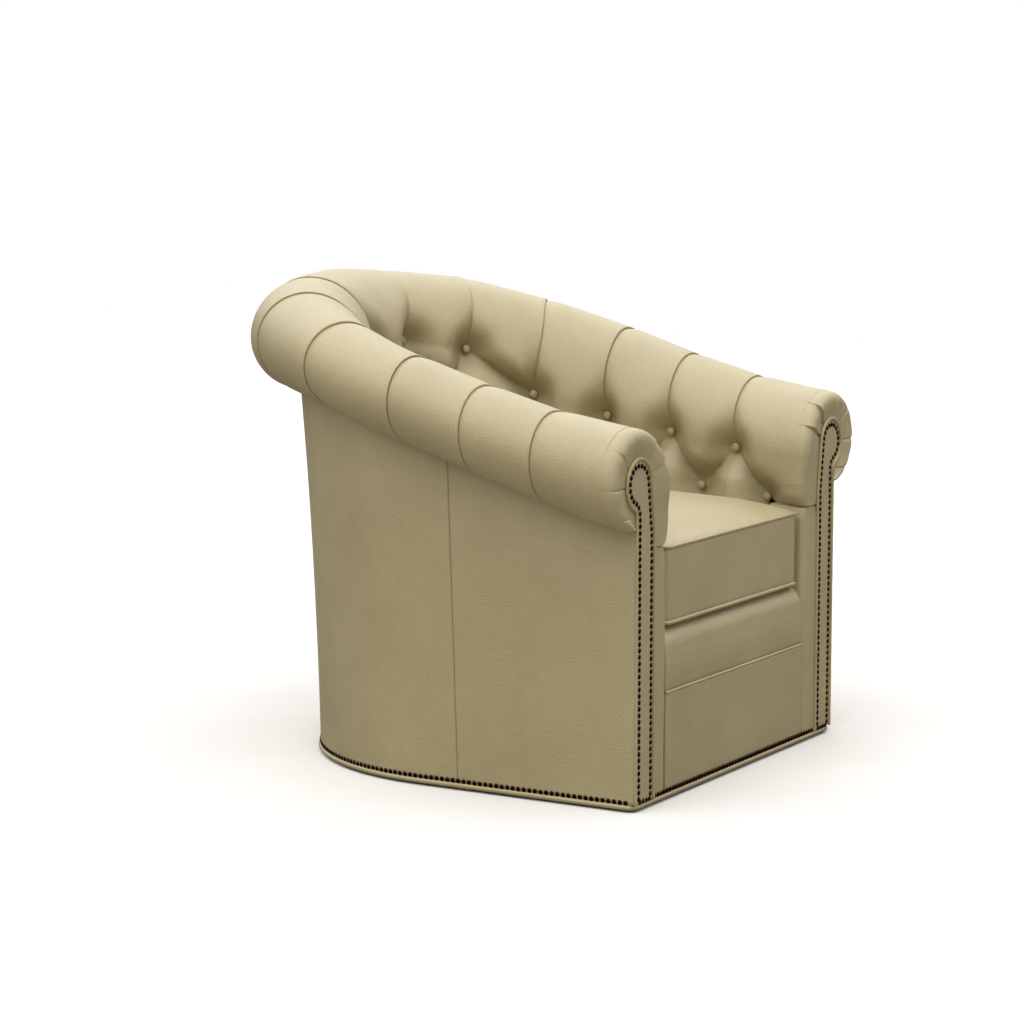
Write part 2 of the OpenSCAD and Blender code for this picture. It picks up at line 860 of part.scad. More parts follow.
module arm_front_right() {
    arm_front();
}
module arm_front_left() {
    mirror([1, 0, 0])
        arm_front();
}

// Tufted padding
end_sets = [0, 0.06, 0.22, 0.5, 1];
arm_p = concat(
    [for (e = end_sets) front_p + e * end_round / pitch],
    [-0.72, -0.501, -0.499],
    [for (i = [-2 : 12]) i / 6]
);
// Lid across an end of the padding: fans from the bend, from the rail's inner edge and from its outer
function pad_cap(rows) =
    let (
        w = rows == 3 ? wall_steps + 4 : wall_steps + 2,
        outer = w + rise_steps + roll_steps + 1,
        inner = outer + 1,
        bend = outer + 2,
        low = outer + 3,
        far = w + rise_steps + 3
    )
    concat(
        [for (i = [0 : w - 2]) [i, i + 1, bend]],
        [[0, bend, low], [w - 1, inner, bend]],
        [for (i = [w - 1 : far - 1]) [i, i + 1, inner]],
        [[far, outer, inner]],
        [for (i = [far : outer - 2]) [i, i + 1, outer]]
    );
module tufted(ps, rows) {
    k = len(ps) - 1;
    color(leather)
        skin([for (i = [k : -1 : 0]) [for (q = pad_ring(ps[i], rows)) place(ps[i], q)]], pad_cap(rows));
}
module tufted_arm_right() {
    tufted([for (p = arm_p) min(p, 2 - split)], 2);
}
module tufted_arm_left() {
    mirror([1, 0, 0])
        tufted_arm_right();
}
module tufted_back() {
    tufted(stations(2 + split, 9 - split), 3);
}

// Places its child at each button between two stations, with +Z out of the wall
all_buttons = concat(buttons, [for (b = buttons) if (b[0] < middle) [last_pleat - b[0], b[1]]]);
module each_button(span) {
    for (b = all_buttons)
        if (b[0] >= span[0] && b[0] <= span[1]) {
            m = half_p(b[0]);
            z = b[1];
            spot = plan(b[0], wall_r(m, z) + tuft(m, z));
            lean = z > seat_z ? atan(mix(0.06, 0.29, ease((m - 1.5) / 3.5))) : 0;
            translate([spot[0], spot[1], z])
                rotate(turn(b[0]) + 180)
                    rotate([0, 90 - lean, 0])
                        children();
        }
}
module button_pit() {
    cylinder(d = button_d + 2 * seat_gap, h = 60, $fn = 32);
}
// A covered button: a cone that reaches down into the pit, a short rim and a shallow dome
button_slope = 0.95;
module button() {
    head = button_d / 2;
    rim = 1.5;
    dome = button_t - rim;
    round_r = (head * head + dome * dome) / (2 * dome);
    foot = seat_gap + button_slope * head;
    translate([0, 0, seat_gap])
        cylinder(r1 = 0.6, r2 = head, h = foot - seat_gap, $fn = 32);
    translate([0, 0, foot])
        cylinder(r = head, h = rim, $fn = 32);
    translate([0, 0, foot + rim])
        rotate_extrude($fn = 32)
            intersection() {
                translate([0, dome - round_r])
                    circle(r = round_r, $fn = 64);
                square([head, dome]);
            }
}
module tufting_buttons() {
    color(leather)
        each_button([-1, last_pleat + 1])
            button();
}

// Facing: a keyhole board on the front of each arm. e is the offset from the nail line.
function facing_outline(e) =
    let (
        r = facing_r + e,
        n = neck_r - e,
        xo = facing_out + e,
        xi = facing_in - e,
        cx = facing_out + 3,
        cz = facing_z,
        nz = cz - sqrt(pow(r + n, 2) - pow(xo + n - cx, 2)),
        start = [xi, cz - 88],
        reach = norm(start - [cx, cz]),
        left = 360 + atan2(start[1] - cz, start[0] - cx) - acos(r / reach),
        right = atan2(nz - cz, xo + n - cx),
        foot = arm_front_z
    )
    concat(
        [[xo, foot], [xo, nz]],
        [for (i = [1 : 7]) let (t = mix(180, right + 180, i / 8)) [xo + n + n * cos(t), nz + n * sin(t)]],
        [for (i = [0 : 20]) let (t = mix(right, left, i / 20)) [cx + r * cos(t), cz + r * sin(t)]],
        [start, [xi, foot]]
    );
facing_y = -front_reach - seat_gap;
module facing() {
    color(leather)
        translate([0, facing_y, 0])
            rotate([90, 0, 0])
                linear_extrude(facing_t)
                    polygon(facing_outline(border_w - 4));
}
module facing_right() {
    facing();
}
module facing_left() {
    mirror([1, 0, 0])
        facing();
}

facing_welt_d = 7;
module facing_welt() {
    color(welt_leather)
        tube(
            [for (q = facing_outline(border_w)) [q[0], facing_y - facing_t * 0.5, q[1]]],
            facing_welt_d / 2, 6, [0, 1, 0]
        );
}
module facing_welt_right() {
    facing_welt();
}
module facing_welt_left() {
    mirror([1, 0, 0])
        facing_welt();
}

// Outer panels
panel_levels = 5;
function panel_ring(p) =
    let (m = half_p(p), z0 = floor_gap + base_welt_d + seat_gap, z1 = roll_low(m) + post_lap - 2)
    concat(
        [for (i = [0 : panel_levels]) let (z = mix(z0, z1, i / panel_levels)) place(p, [panel_r(m, z), z])],
        [
            for (i = [panel_levels : -1 : 0])
                let (z = mix(z0, z1, i / panel_levels))
                place(p, [panel_r(m, z) - panel_t, z])
        ]
    );
module outer_panel(p0, p1) {
    color(leather)
        skin([for (p = stations(p0, p1)) panel_ring(p)], strip_cap(2 * panel_levels + 2));
}
module outer_arm_right() {
    outer_panel(front_p + 0.005, seam_p - split);
}
module outer_arm_left() {
    mirror([1, 0, 0])
        outer_arm_right();
}
module outer_back() {
    outer_panel(seam_p + split, last_pleat - seam_p - split);
}

// Welt round the bottom edge
function base_path() =
    let (r = tub_half_w - 1, f = -front_reach + 2, c = 14)
    concat(
        [[r - c, f], [r - c * 0.3, f + c * 0.3], [r, f + c]],
        [for (i = [1 : 4]) [r, mix(f + c, -arc_set, i / 5)]],
        [for (i = [0 : 40]) let (t = 180 * i / 40) [r * cos(t), r * sin(t) - arc_set]],
        [for (i = [4 : -1 : 1]) [-r, mix(f + c, -arc_set, i / 5)]],
        [[-r, f + c], [c * 0.3 - r, f + c * 0.3], [c - r, f]]
    );
module base_welt() {
    color(welt_leather)
        tube(at_z(base_path(), floor_gap + base_welt_d / 2), base_welt_d / 2, 8, [0, 0, 1], true);
}

// Loose seat cushion
cushion_z = deck_z + soft_gap;
bottom_t = 4;
box_z0 = cushion_z + bottom_t;
box_z1 = box_z0 + boxing_h;
welt_in = welt_d / 2 + 0.4;
module cushion_bottom_panel() {
    color(leather)
        flat_plate(cushion_outline(welt_in + welt_d / 2), cushion_z, box_z0 - 0.1);
}

module cushion_core() {
    color(foam)
        flat_plate(cushion_outline(welt_in + welt_d / 2 + draw_in + boxing_t + 0.5), box_z0, box_z1 - 0.2);
}

module cushion_boxing() {
    outer = welt_in + welt_d / 2;
    waist = [for (t = [0, 0.15, 0.5, 0.85, 1]) [t, draw_in * sin(180 * t)]];
    color(leather) {
        outs = [for (w = waist) at_z(cushion_outline(outer + w[1]), mix(box_z0, box_z1, w[0]))];
        ins = cushion_outline(outer + draw_in + boxing_t);
        rings = concat(outs, [at_z(ins, box_z1), at_z(ins, box_z0)]);
        n = len(ins);
        skin([for (i = [0 : n - 1]) [for (r = rings) r[i]]], loop = true);
    }
}

// Crowned top panel: rings that close in on the middle
crown_rings = 6;
module cushion_top_panel() {
    edge = cushion_outline(welt_in + welt_d / 2);
    heart = [0, (back_in - arc_set - cushion_front) / 2];
    function ring(s) =
        let (z = box_z1 + 4.2 + crown_h * (1 - pow(s, 4)))
        at_z([for (q = edge) heart + (q - heart) * s], z);
    color(leather)
        skin(concat(
            [for (i = [crown_rings : -1 : 0]) ring(pow(1 - i / (crown_rings + 0.4), 0.7))],
            [at_z(edge, box_z1 + 0.2)]
        ));
}

module cushion_welt(z) {
    color(welt_leather)
        tube(at_z(cushion_outline(welt_d / 2), z), welt_d / 2, 6, [0, 0, 1], true);
}
module cushion_welt_top() {
    cushion_welt(box_z1 + 1);
}
module cushion_welt_bottom() {
    cushion_welt(box_z0 + welt_d / 2 - 3);
}

// Zip along the back of the boxing, and its slider
zip_span = 1.6;
zip_z = (box_z0 + box_z1) / 2;
zip_t = 1.2;
function boxing_r(p) = cushion_r(p) - welt_in - welt_d / 2 - draw_in;
function zip_ring(p) =
    let (r = boxing_r(p) + 1.2, h = 11)
    [
        for (q = [[r, zip_z - h], [r + zip_t, zip_z - h], [r + zip_t, zip_z + h], [r, zip_z + h]])
            place(p, q)
    ];
module cushion_zip() {
    color(black_cloth)
        skin([for (i = [0 : 16]) zip_ring(middle + mix(-zip_span, zip_span, i / 16))]);
}
module zip_slider() {
    p = middle + zip_span * 0.8;
    color("#b08d4a")
        translate([0, -arc_set, 0])
            rotate(turn(p))
                translate([boxing_r(p) + 1.2 + zip_t + seat_gap, -4, zip_z - 5])
                    cube([2, 8, 10]);
}

base_frame();
floor_glides();
bearing_lower_plate();
spindle();
spindle_washer();
spindle_nut();
ball_cage();
bearing_balls();
bearing_upper_plate();
plate_bolts();
mounting_board();
cross_rails();
dust_cover();
front_rail();
side_rail_left();
side_rail_right();
back_rail();
front_post_left();
front_post_right();
arm_uprights();
back_uprights();
top_rail_left();
top_rail_right();
top_rail_back();
seat_front_rail();
seat_back_rail();
seat_side_rails();
seat_springs();
spring_clips();
deck_pad();
front_lip();
front_border();
front_welt();
arm_front_left();
arm_front_right();
tufted_arm_left();
tufted_arm_right();
tufted_back();
tufting_buttons();
facing_left();
facing_right();
facing_welt_left();
facing_welt_right();
outer_arm_left();
outer_arm_right();
outer_back();
base_welt();
cushion_core();
cushion_boxing();
cushion_top_panel();
cushion_bottom_panel();
cushion_welt_top();
cushion_welt_bottom();
cushion_zip();
zip_slider();
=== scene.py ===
import math

import bpy
import numpy as np
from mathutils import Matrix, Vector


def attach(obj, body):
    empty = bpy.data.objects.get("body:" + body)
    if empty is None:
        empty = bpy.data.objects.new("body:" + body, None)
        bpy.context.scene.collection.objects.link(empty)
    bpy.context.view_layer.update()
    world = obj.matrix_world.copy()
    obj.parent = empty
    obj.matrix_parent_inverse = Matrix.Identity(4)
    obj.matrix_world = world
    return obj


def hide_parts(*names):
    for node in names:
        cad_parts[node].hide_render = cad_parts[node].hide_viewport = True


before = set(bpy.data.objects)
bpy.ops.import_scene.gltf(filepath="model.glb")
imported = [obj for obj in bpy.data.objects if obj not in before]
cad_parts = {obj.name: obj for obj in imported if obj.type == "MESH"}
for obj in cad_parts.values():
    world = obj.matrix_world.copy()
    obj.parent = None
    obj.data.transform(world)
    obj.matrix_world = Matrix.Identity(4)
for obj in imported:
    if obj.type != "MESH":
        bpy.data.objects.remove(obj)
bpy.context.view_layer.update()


# Swivel base: a welded floor ring with four arms, painted black, standing on black glides.
# The bearing plates, spindle, nut and bolts are zinc plated, and the balls run in a brass cage.
# Sizes are in millimetres, with +Z up, the chair facing -Y, and the floor at 0.
MM = 0.001  # metres, for meshes and textures


def linear(code):
    """Turns an sRGB hex colour such as "#c8b88f" into linear RGBA."""
    parts = np.array([int(code[i : i + 2], 16) for i in (1, 3, 5)]) / 255
    flat = np.where(parts <= 0.04045, parts / 12.92, ((parts + 0.055) / 1.055) ** 2.4)
    return (*flat, 1.0)


def node(tree, kind, inputs=None, **settings):
    """Adds a node with its settings, and gives its inputs a number, a colour or another node's socket."""
    made = tree.nodes.new("ShaderNode" + kind)
    for name, value in settings.items():
        setattr(made, name, value)
    for name, value in (inputs or {}).items():
        if isinstance(value, bpy.types.NodeSocket):
            tree.links.new(value, made.inputs[name])
        else:
            made.inputs[name].default_value = value
    return made


def blank_material(name):
    """An empty material, and the coordinates of the piece that wears it."""
    material = bpy.data.materials.new(name)
    material.use_nodes = True
    tree = material.node_tree
    tree.nodes.clear()
    return material, tree, node(tree, "TexCoord").outputs["Object"]


def per(size):
    """Scale of a texture whose cells are size mm wide."""
    return 1 / (size * MM)


def two_colours(tree, share, low, high, start=0.35, end=0.65):
    """A ramp between two hex colours over a share of 0 to 1."""
    ramp = node(tree, "ValToRGB", {"Fac": share})
    for stop, at, code in zip(ramp.color_ramp.elements, (start, end), (low, high)):
        stop.position, stop.color = at, linear(code)
    return ramp.outputs["Color"]


def dress(names, material):
    """Gives CAD nodes that keep their shape a finished material."""
    for name in names:
        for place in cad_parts[name].material_slots:
            place.material = material


# Black stoving paint on welded tube: a slight orange peel, in cloudy patches.
def painted_steel(name, low, high, roughness):
    material, tree, place = blank_material(name)
    cloud = node(tree, "TexNoise", {"Vector": place, "Scale": per(16.7), "Detail": 4.0})
    peel = node(tree, "TexNoise", {"Vector": place, "Scale": per(1.11), "Detail": 2.0})
    bump = node(tree, "Bump", {"Height": peel.outputs["Fac"], "Strength": 0.15, "Distance": 0.2 * MM})
    skin = node(tree, "BsdfPrincipled", {
        "Base Color": two_colours(tree, cloud.outputs["Fac"], low, high),
        "Roughness": roughness, "Normal": bump.outputs["Normal"],
    })
    node(tree, "OutputMaterial", {"Surface": skin.outputs["BSDF"]})
    return material


# Zinc plate over turned or stamped steel: pale grey with fine lathe and grain marks.
def plated_steel(name, low, high, roughness):
    material, tree, place = blank_material(name)
    drawn = node(tree, "Mapping", {"Vector": place, "Scale": (1.0, 1.0, 12.0)})
    marks = node(tree, "TexNoise", {"Vector": drawn.outputs["Vector"], "Scale": per(0.714), "Detail": 3.0})
    spangle = node(tree, "TexVoronoi", {"Vector": place, "Scale": per(4.17)}).outputs["Distance"]
    rough = node(tree, "MapRange", {"Value": spangle, "To Min": roughness - 0.06, "To Max": roughness + 0.1})
    bump = node(tree, "Bump", {"Height": marks.outputs["Fac"], "Strength": 0.1, "Distance": 0.1 * MM})
    skin = node(tree, "BsdfPrincipled", {
        "Base Color": two_colours(tree, marks.outputs["Fac"], low, high), "Metallic": 1.0,
        "Roughness": rough.outputs["Result"], "Normal": bump.outputs["Normal"],
    })
    node(tree, "OutputMaterial", {"Surface": skin.outputs["BSDF"]})
    return material


zinc_plate = plated_steel("Zinc_plated_steel", "#9c9fa4", "#c3c6ca", 0.34)
cage_brass = plated_steel("Stamped_brass", "#a8874a", "#cbaa62", 0.3)
dress(["base_frame"], painted_steel("Black_stoving_paint", "#171719", "#242427", 0.42))
dress(["floor_glides"], painted_steel("Moulded_black_nylon", "#121213", "#1b1b1c", 0.6))
dress(["bearing_lower_plate", "bearing_upper_plate", "spindle", "spindle_washer", "spindle_nut"], zinc_plate)
dress(["plate_bolts", "bearing_balls"], zinc_plate)
dress(["ball_cage"], cage_brass)


# Wooden frame: sawn beech rails, posts and bent top rails, glued and screwed, on a plywood board.
# Zigzag springs are clipped between the seat rails, and black cloth closes the seat underneath.
def sawn_wood(name, low, high, ring, along):
    """Growth rings as contour lines of a noise that is drawn out along the grain. It bends a wave, whose
    own bands are 2 pi times ring mm wide, by many of them. Fine pores lie in the rings."""
    material, tree, place = blank_material(name)
    squeeze = node(tree, "Mapping", {"Vector": place, "Scale": along}).outputs["Vector"]
    sway = node(tree, "TexNoise", {"Vector": squeeze, "Scale": per(111), "Detail": 3.0})
    bent = node(tree, "VectorMath", {0: squeeze, 1: sway.outputs["Color"]}, operation="ADD")
    rings = node(tree, "TexWave", {
        "Vector": bent.outputs["Vector"], "Scale": per(ring * 20), "Distortion": 3.0, "Detail": 3.0,
    })
    pores = node(tree, "TexNoise", {"Vector": squeeze, "Scale": per(1.43), "Detail": 4.0})
    height = node(tree, "Math", {0: rings.outputs["Fac"], 1: pores.outputs["Fac"]}, operation="ADD")
    bump = node(tree, "Bump", {"Height": height.outputs["Value"], "Strength": 0.3, "Distance": 0.3 * MM})
    skin = node(tree, "BsdfPrincipled", {
        "Base Color": two_colours(tree, rings.outputs["Fac"], low, high, 0.1, 0.9),
        "Roughness": 0.68, "Normal": bump.outputs["Normal"],
    })
    node(tree, "OutputMaterial", {"Surface": skin.outputs["BSDF"]})
    return material


def woven_cloth(name, low, high, thread):
    """Square weave seen as two crossed waves, whose bands are 2 pi times thread mm wide. Each shows about
    six real threads, so that the weave can be seen."""
    material, tree, place = blank_material(name)
    scale = per(thread * 20)
    warp, weft = (
        node(tree, "TexWave", {"Vector": place, "Scale": scale}, bands_direction=way).outputs["Fac"]
        for way in "XY"
    )
    weave = node(tree, "Math", {0: warp, 1: weft}, operation="MULTIPLY").outputs["Value"]
    bump = node(tree, "Bump", {"Height": weave, "Strength": 0.5, "Distance": 0.3 * MM})
    skin = node(tree, "BsdfPrincipled", {
        "Base Color": two_colours(tree, weave, low, high, 0.0, 1.0),
        "Roughness": 0.9, "Normal": bump.outputs["Normal"], "Sheen Weight": 0.2,
    })
    node(tree, "OutputMaterial", {"Surface": skin.outputs["BSDF"]})
    return material


beech_across = sawn_wood("Sawn_beech_across", "#b98f5e", "#d2ad7c", 4.0, (1.0, 14.0, 14.0))
beech_along = sawn_wood("Sawn_beech_along", "#b98f5e", "#d2ad7c", 4.0, (14.0, 1.0, 14.0))
beech_upright = sawn_wood("Sawn_beech_upright", "#b58a58", "#cfa876", 4.0, (14.0, 14.0, 1.0))
bottom_cloth = woven_cloth("Black_bottom_cloth", "#161618", "#26262a", 1.2)
dress(["front_rail", "back_rail", "top_rail_back"], beech_across)
dress(["seat_front_rail", "seat_back_rail", "cross_rails"], beech_across)
dress(["side_rail_left", "side_rail_right", "seat_side_rails"], beech_along)
dress(["top_rail_left", "top_rail_right"], beech_along)
dress(["front_post_left", "front_post_right", "arm_uprights", "back_uprights"], beech_upright)
dress(["mounting_board"], sawn_wood("Birch_plywood", "#c9a978", "#e0c797", 6.0, (1.0, 10.0, 40.0)))
dress(["seat_springs"], plated_steel("Tempered_spring_wire", "#4c4d50", "#77797c", 0.38))
dress(["spring_clips"], zinc_plate)
dress(["dust_cover"], bottom_cloth)
dress(["deck_pad"], woven_cloth("Dark_deck_cloth", "#1c1b19", "#2e2c28", 1.0))


# Deep-buttoned inside of the arms and back: hide over foam, pulled in by buttons through the
# padding. The fullness between buttons is folded into creases, and each top button's crease runs
# on over the roll as a pleat, where the rear panel laps over the panel in front of it.

# Places round the tub are stations p: 0 to 11 are the pleats, from the front of the right arm round
# the back, and m counts from the nearer arm's front.
FRONT_REACH = 471.0  # from the swivel's axis forward to the arm fronts
ARC_SET = 44.0  # from the axis forward to the middle of the round back
TUB_HALF = 390.0  # from the axis to the outside panels
FLOOR_GAP = 4.0  # between the floor and the leather's bottom edge
FIRST_PLEAT, PITCH = 159.0, 138.0  # from the arm's front to its first pleat, and between its pleats
LAST, MIDDLE = 11.0, 5.5
FRONT_P = -FIRST_PLEAT / PITCH  # station of the arm's front
ARC_P = (FRONT_REACH - ARC_SET - FIRST_PLEAT) / PITCH  # station at which the round back begins
# the angle round the back at each of these stations, in degrees
TURN_STATIONS = [ARC_P, 2, 3, 4, 5, 6, 7, 8, 9, LAST - ARC_P]
PLEAT_TURNS = [0, 1.6, 28, 51.5, 76, 104, 128.5, 152, 178.4, 180]


def mix(a, b, t):
    """From a to b in a straight line as t goes from 0 to 1."""
    return a + (b - a) * t


def ease(t):
    """Half a cosine wave from 0 to 1."""
    return (1 - np.cos(np.pi * np.clip(t, 0, 1))) / 2


def bell(x, width):
    """Bell curve: 1 in its middle and 0.37 at width from it."""
    return np.exp(-((x / width) ** 2))


def half_p(p):
    """Station counted from the nearer arm, as the chair is the same on both sides."""
    return np.minimum(p, LAST - p)


def turned(p):
    """Angle in degrees round the back at station p: 0 at its right end and 180 at its left."""
    return np.interp(p, TURN_STATIONS, PLEAT_TURNS)


def on_plan(p, r):
    """Point in plan at station p and distance r: straight arms at +-r, then a round back of radius r."""
    angle = np.radians(turned(p))
    along = -FRONT_REACH + FIRST_PLEAT + PITCH * half_p(p)
    return r * np.cos(angle), np.where(half_p(p) < ARC_P, along, r * np.sin(angle) - ARC_SET)


def placed(p, r, z):
    """Points [station, point, xyz] from distances and heights at stations p."""
    x, y = on_plan(p, r)
    return np.stack([x, np.broadcast_to(y, r.shape), z], -1)


# the roll's top rises from front to back, by these shares at these stations
CREST_FRONT, CREST_BACK = 645.0, 870.0
CREST_RISE = ([FRONT_P, 0, 1, 2, 3, 4, 5, 5.5], [0, 0.115, 0.28, 0.475, 0.7, 0.89, 0.97, 1])


def crest_z(m):
    """Height of the roll's top."""
    return mix(CREST_FRONT, CREST_BACK, np.interp(m, *CREST_RISE))


def crest_r(m):
    """Distance of the roll's top, from 6 mm inside TUB_HALF on the arms to 34 mm outside it at the back."""
    return TUB_HALF + mix(-6, 34, ease((m - 2) / 3.5))


ROLL_WIDE, ROLL_HIGH = (86.0, 99.0), (76.0, 100.0)  # half sizes, on the arms and at the back


def roll_size(m):
    """Half width and half height of the roll, which swells a little towards its front end."""
    share, front = ease((m - 2.8) / 2.4), m - FRONT_P
    return mix(*ROLL_WIDE, share) + 5 * bell(front, 0.8), mix(*ROLL_HIGH, share) + 9 * bell(front, 1.1)


def roll_low(m):
    """Height of the roll's lowest line."""
    return crest_z(m) - 2 * roll_size(m)[1]


PANEL_LEAN, PANEL_UP = 32.0, 650.0  # at the back the panel leans out by so much at this height


def panel_r(m, z):
    """Distance of the outer panel, which leans out towards the top of the back as height to the power 1.6."""
    lean = PANEL_LEAN * ease((m - 0.5) / 4.5)
    return TUB_HALF + lean * (np.maximum(z - FLOOR_GAP, 0) / PANEL_UP) ** 1.6


# above this height the inside walls lean back, from these distances at the arms and at the back
SEAT_Z, ARM_IN, BACK_IN = 462.0, 266.0, 222.0
ARM_LEAN, BACK_LEAN = 0.06, 0.29  # mm across for each mm up


def wall_r(m, z):
    """Distance of the inside wall, upright up to the seat and leaning back above it."""
    h = np.maximum(z - SEAT_Z, 0)
    return mix(ARM_IN + ARM_LEAN * h, BACK_IN + BACK_LEAN * h, ease((m - 1.5) / 3.5))


DRAWN_R = 300.0  # radius of the round back's wall where the creases are drawn on it


def unrolled(m):
    """Length along the wall up to station m, on which the creases are drawn."""
    return PITCH * np.minimum(m, ARC_P) + DRAWN_R * np.radians(turned(m))


# the first button of the second row, from which the front crease runs forward
CREASE_Z, CREASE_P = 454.0, -0.5


def seat_seam(m):
    """Height of the front crease, where the padding meets the arm front. It falls off by 11 mm towards
    the front, steeply at first."""
    return CREASE_Z - 11 * (1 - np.exp(-6 * np.clip((CREASE_P - m) / (CREASE_P - FRONT_P), 0, 1.4)))


# Heights of the buttons in three rows, and the creases between them
ROW_1 = ([FRONT_P, 0, 1, 2, 3, 4, 5, 5.5], [531, 542, 564, 587, 624, 711, 733, 736])
ROW_2 = ([FRONT_P, -0.5, 0.5, 1.5, 2.5, 3.5, 4.5, 5.5], [454, 454, 467, 484, 509, 563, 629, 642])
ROW_3 = ([FRONT_P, 2.5, 11 / 3, 5, 5.5], [380, 420, 541, 549, 547])
TOP, SECOND, THIRD = (
    {m: (m, float(np.interp(m, *row))) for m in stations}
    for row, stations in (
        (ROW_1, (0, 1, 2, 3, 4, 5)), (ROW_2, (CREASE_P, 0.5, 1.5, 2.5, 4.5, 5.5)), (ROW_3, (11 / 3, 5)),
    )
)
BUTTONS = [*TOP.values(), *SECOND.values(), *THIRD.values()]
DIAGONALS = [
    *[(TOP[m], SECOND[m - 0.5]) for m in (0, 1, 2)],
    *[(TOP[m], SECOND[m + 0.5]) for m in (0, 1, 2)],
    (TOP[3], SECOND[2.5]), (TOP[3], TOP[4]),
    (TOP[4], SECOND[4.5]), (TOP[5], SECOND[4.5]), (TOP[5], SECOND[5.5]),
    (TOP[3], THIRD[11 / 3]), (SECOND[4.5], THIRD[11 / 3]),
    (SECOND[4.5], THIRD[5]), (SECOND[5.5], THIRD[5]),
]
SEAM_STATIONS = (CREASE_P, -0.55, -0.62, -0.72, -0.9, FRONT_P - 0.2)
SEAM_POINTS = [(m, float(seat_seam(m))) for m in SEAM_STATIONS]
FRONT_CREASE = list(zip(SEAM_POINTS[:-1], SEAM_POINTS[1:]))
ZIGZAG = [(FRONT_P - 1, 380.0), (-0.51, 380.0), *sorted([*TOP.values(), *SECOND.values()])]
# creases run down from the lowest buttons, and pleats up from the top ones, past the leather's edges
UNDER_SEAT, OVER_CREST = 200.0, 2000.0
LOWEST = [*[SECOND[m] for m in (CREASE_P, 0.5, 1.5, 2.5)], *THIRD.values()]
UPRIGHTS = [(b, (b[0], UNDER_SEAT)) for b in LOWEST]
PLEATS = [(b, (b[0], OVER_CREST)) for b in TOP.values()]


def to_lines(x, z, lines):
    """Shortest distance from points to any of the lines, on the unrolled wall."""
    nearest = np.full(np.broadcast(x, z).shape, 1e9)
    for (m0, z0), (m1, z1) in lines:
        x0, x1 = float(unrolled(np.float64(m0))), float(unrolled(np.float64(m1)))
        dx, dz = x1 - x0, z1 - z0
        t = np.clip(((x - x0) * dx + (z - z0) * dz) / (dx * dx + dz * dz), 0, 1)
        nearest = np.minimum(nearest, np.hypot(x - x0 - t * dx, z - z0 - t * dz))
    return nearest


def hollow(gap, reach):
    """Quarter of a circle seen from its side: 1 at a crease, 0 at reach from it."""
    t = np.clip(gap / reach, 0, 1)
    return 1 - np.sqrt(1 - (1 - t) ** 2)


LAP, CREASE, PIT = 5.5, 52.0, 40.0  # depth of a pleat on the roll, of a crease and of a button's pit
UPPER_REACH, LOWER_REACH = 42.0, 80.0  # from a crease to the full height of the lobes beside it
LAP_BEHIND, LAP_AHEAD = 4.5, 40.0  # reach of a pleat on the roll, in the rear panel and in the front one
SEAM_DEPTH, SEAM_REACH = 16.0, 26.0  # the same for the front crease
PIT_WIDTH, FADE_UP = 32.0, 62.0  # width of a button's pit, and height over which creases become pleats


def tufting(m, v):
    """Depth under the smooth form at station m and height v, and the painted shade there (0 to 1), darkest in
    creases and button pits.
    Lobes rise from the creases as quarter circles, whose foot is rounded by 2.5 mm. The upper ones take
    less reach than the lower ones, so that they hang over them. They stand a little proud of the smooth
    form. Pleats fade to a shallow lap over the roll, and the leather sinks to each button as a bell curve."""
    x = unrolled(m)
    over = np.maximum(v - np.interp(m, *ROW_1), 0)
    fade = bell(over, FADE_UP)
    pleat_gap = to_lines(x, v, PLEATS)
    crease_gap = np.minimum(to_lines(x, v, DIAGONALS), to_lines(x, v, UPRIGHTS))
    button_gap = np.min([np.hypot(x - unrolled(np.float64(b)), v - h) for b, h in BUTTONS], axis=0)
    nearest = np.hypot(np.minimum(crease_gap, pleat_gap), 2.5)
    front = np.hypot(to_lines(x, v, FRONT_CREASE), 1.5)
    upper = v > np.interp(m, *zip(*ZIGZAG))
    lobes = CREASE * hollow(nearest, np.where(upper, UPPER_REACH, LOWER_REACH))
    wall = np.maximum(lobes, SEAM_DEPTH * hollow(front, SEAM_REACH))
    lean = mix(0.05, 0.2, ease((m - 1.5) / 3.5))
    proud = np.minimum(3.0 + lean * np.maximum(v - SEAT_Z, 0), 11)
    wall = wall - proud * np.clip((v - 455) / 30, 0, 1)
    rear = x > unrolled(np.rint(m))
    lap = LAP * hollow(pleat_gap, np.where(rear, LAP_BEHIND, LAP_AHEAD)) - 1.5
    funnel = bell(button_gap, PIT_WIDTH)
    # painted shade: the colour darkens along the creases and in each button's pit
    in_crease = np.exp(-np.minimum(crease_gap, mix(60.0, pleat_gap, fade)) / 2)
    shade_share = 0.4 * np.maximum(in_crease, funnel**4)
    return mix(mix(lap, wall, fade), PIT, funnel), np.clip(shade_share, 0, 1)


STATION = 150.0  # mean length of a station along the roll, for small steps between stations


def twisted(p, v):
    """Stations of the round back's pleats, which stand further round at the buttons than at the crest."""
    m = half_p(p)
    over = np.maximum(v - np.interp(m, *ROW_1), 0)
    share = ease(m - 2) * ease((MIDDLE - m) / 0.5)
    return p + np.sign(MIDDLE - p) * share * (0.06 - 0.13 * ease(over / 150))


def lapped(p, v):
    """Stations moved forward by about 3 mm just behind a pleat, so that the rear panel's folded edge
    hangs over the crease. It fades out down the inside wall, where a pleat is a plain crease."""
    m = half_p(p)
    behind = unrolled(m) - unrolled(np.rint(m))
    over = np.maximum(v - np.interp(m, *ROW_1), 0)
    shift = 3.2 * bell(behind - 1.6, 1.5) * (behind > 0.3) * (1 - bell(over, 80))
    return twisted(p, v) - np.sign(MIDDLE - p) * shift / STATION


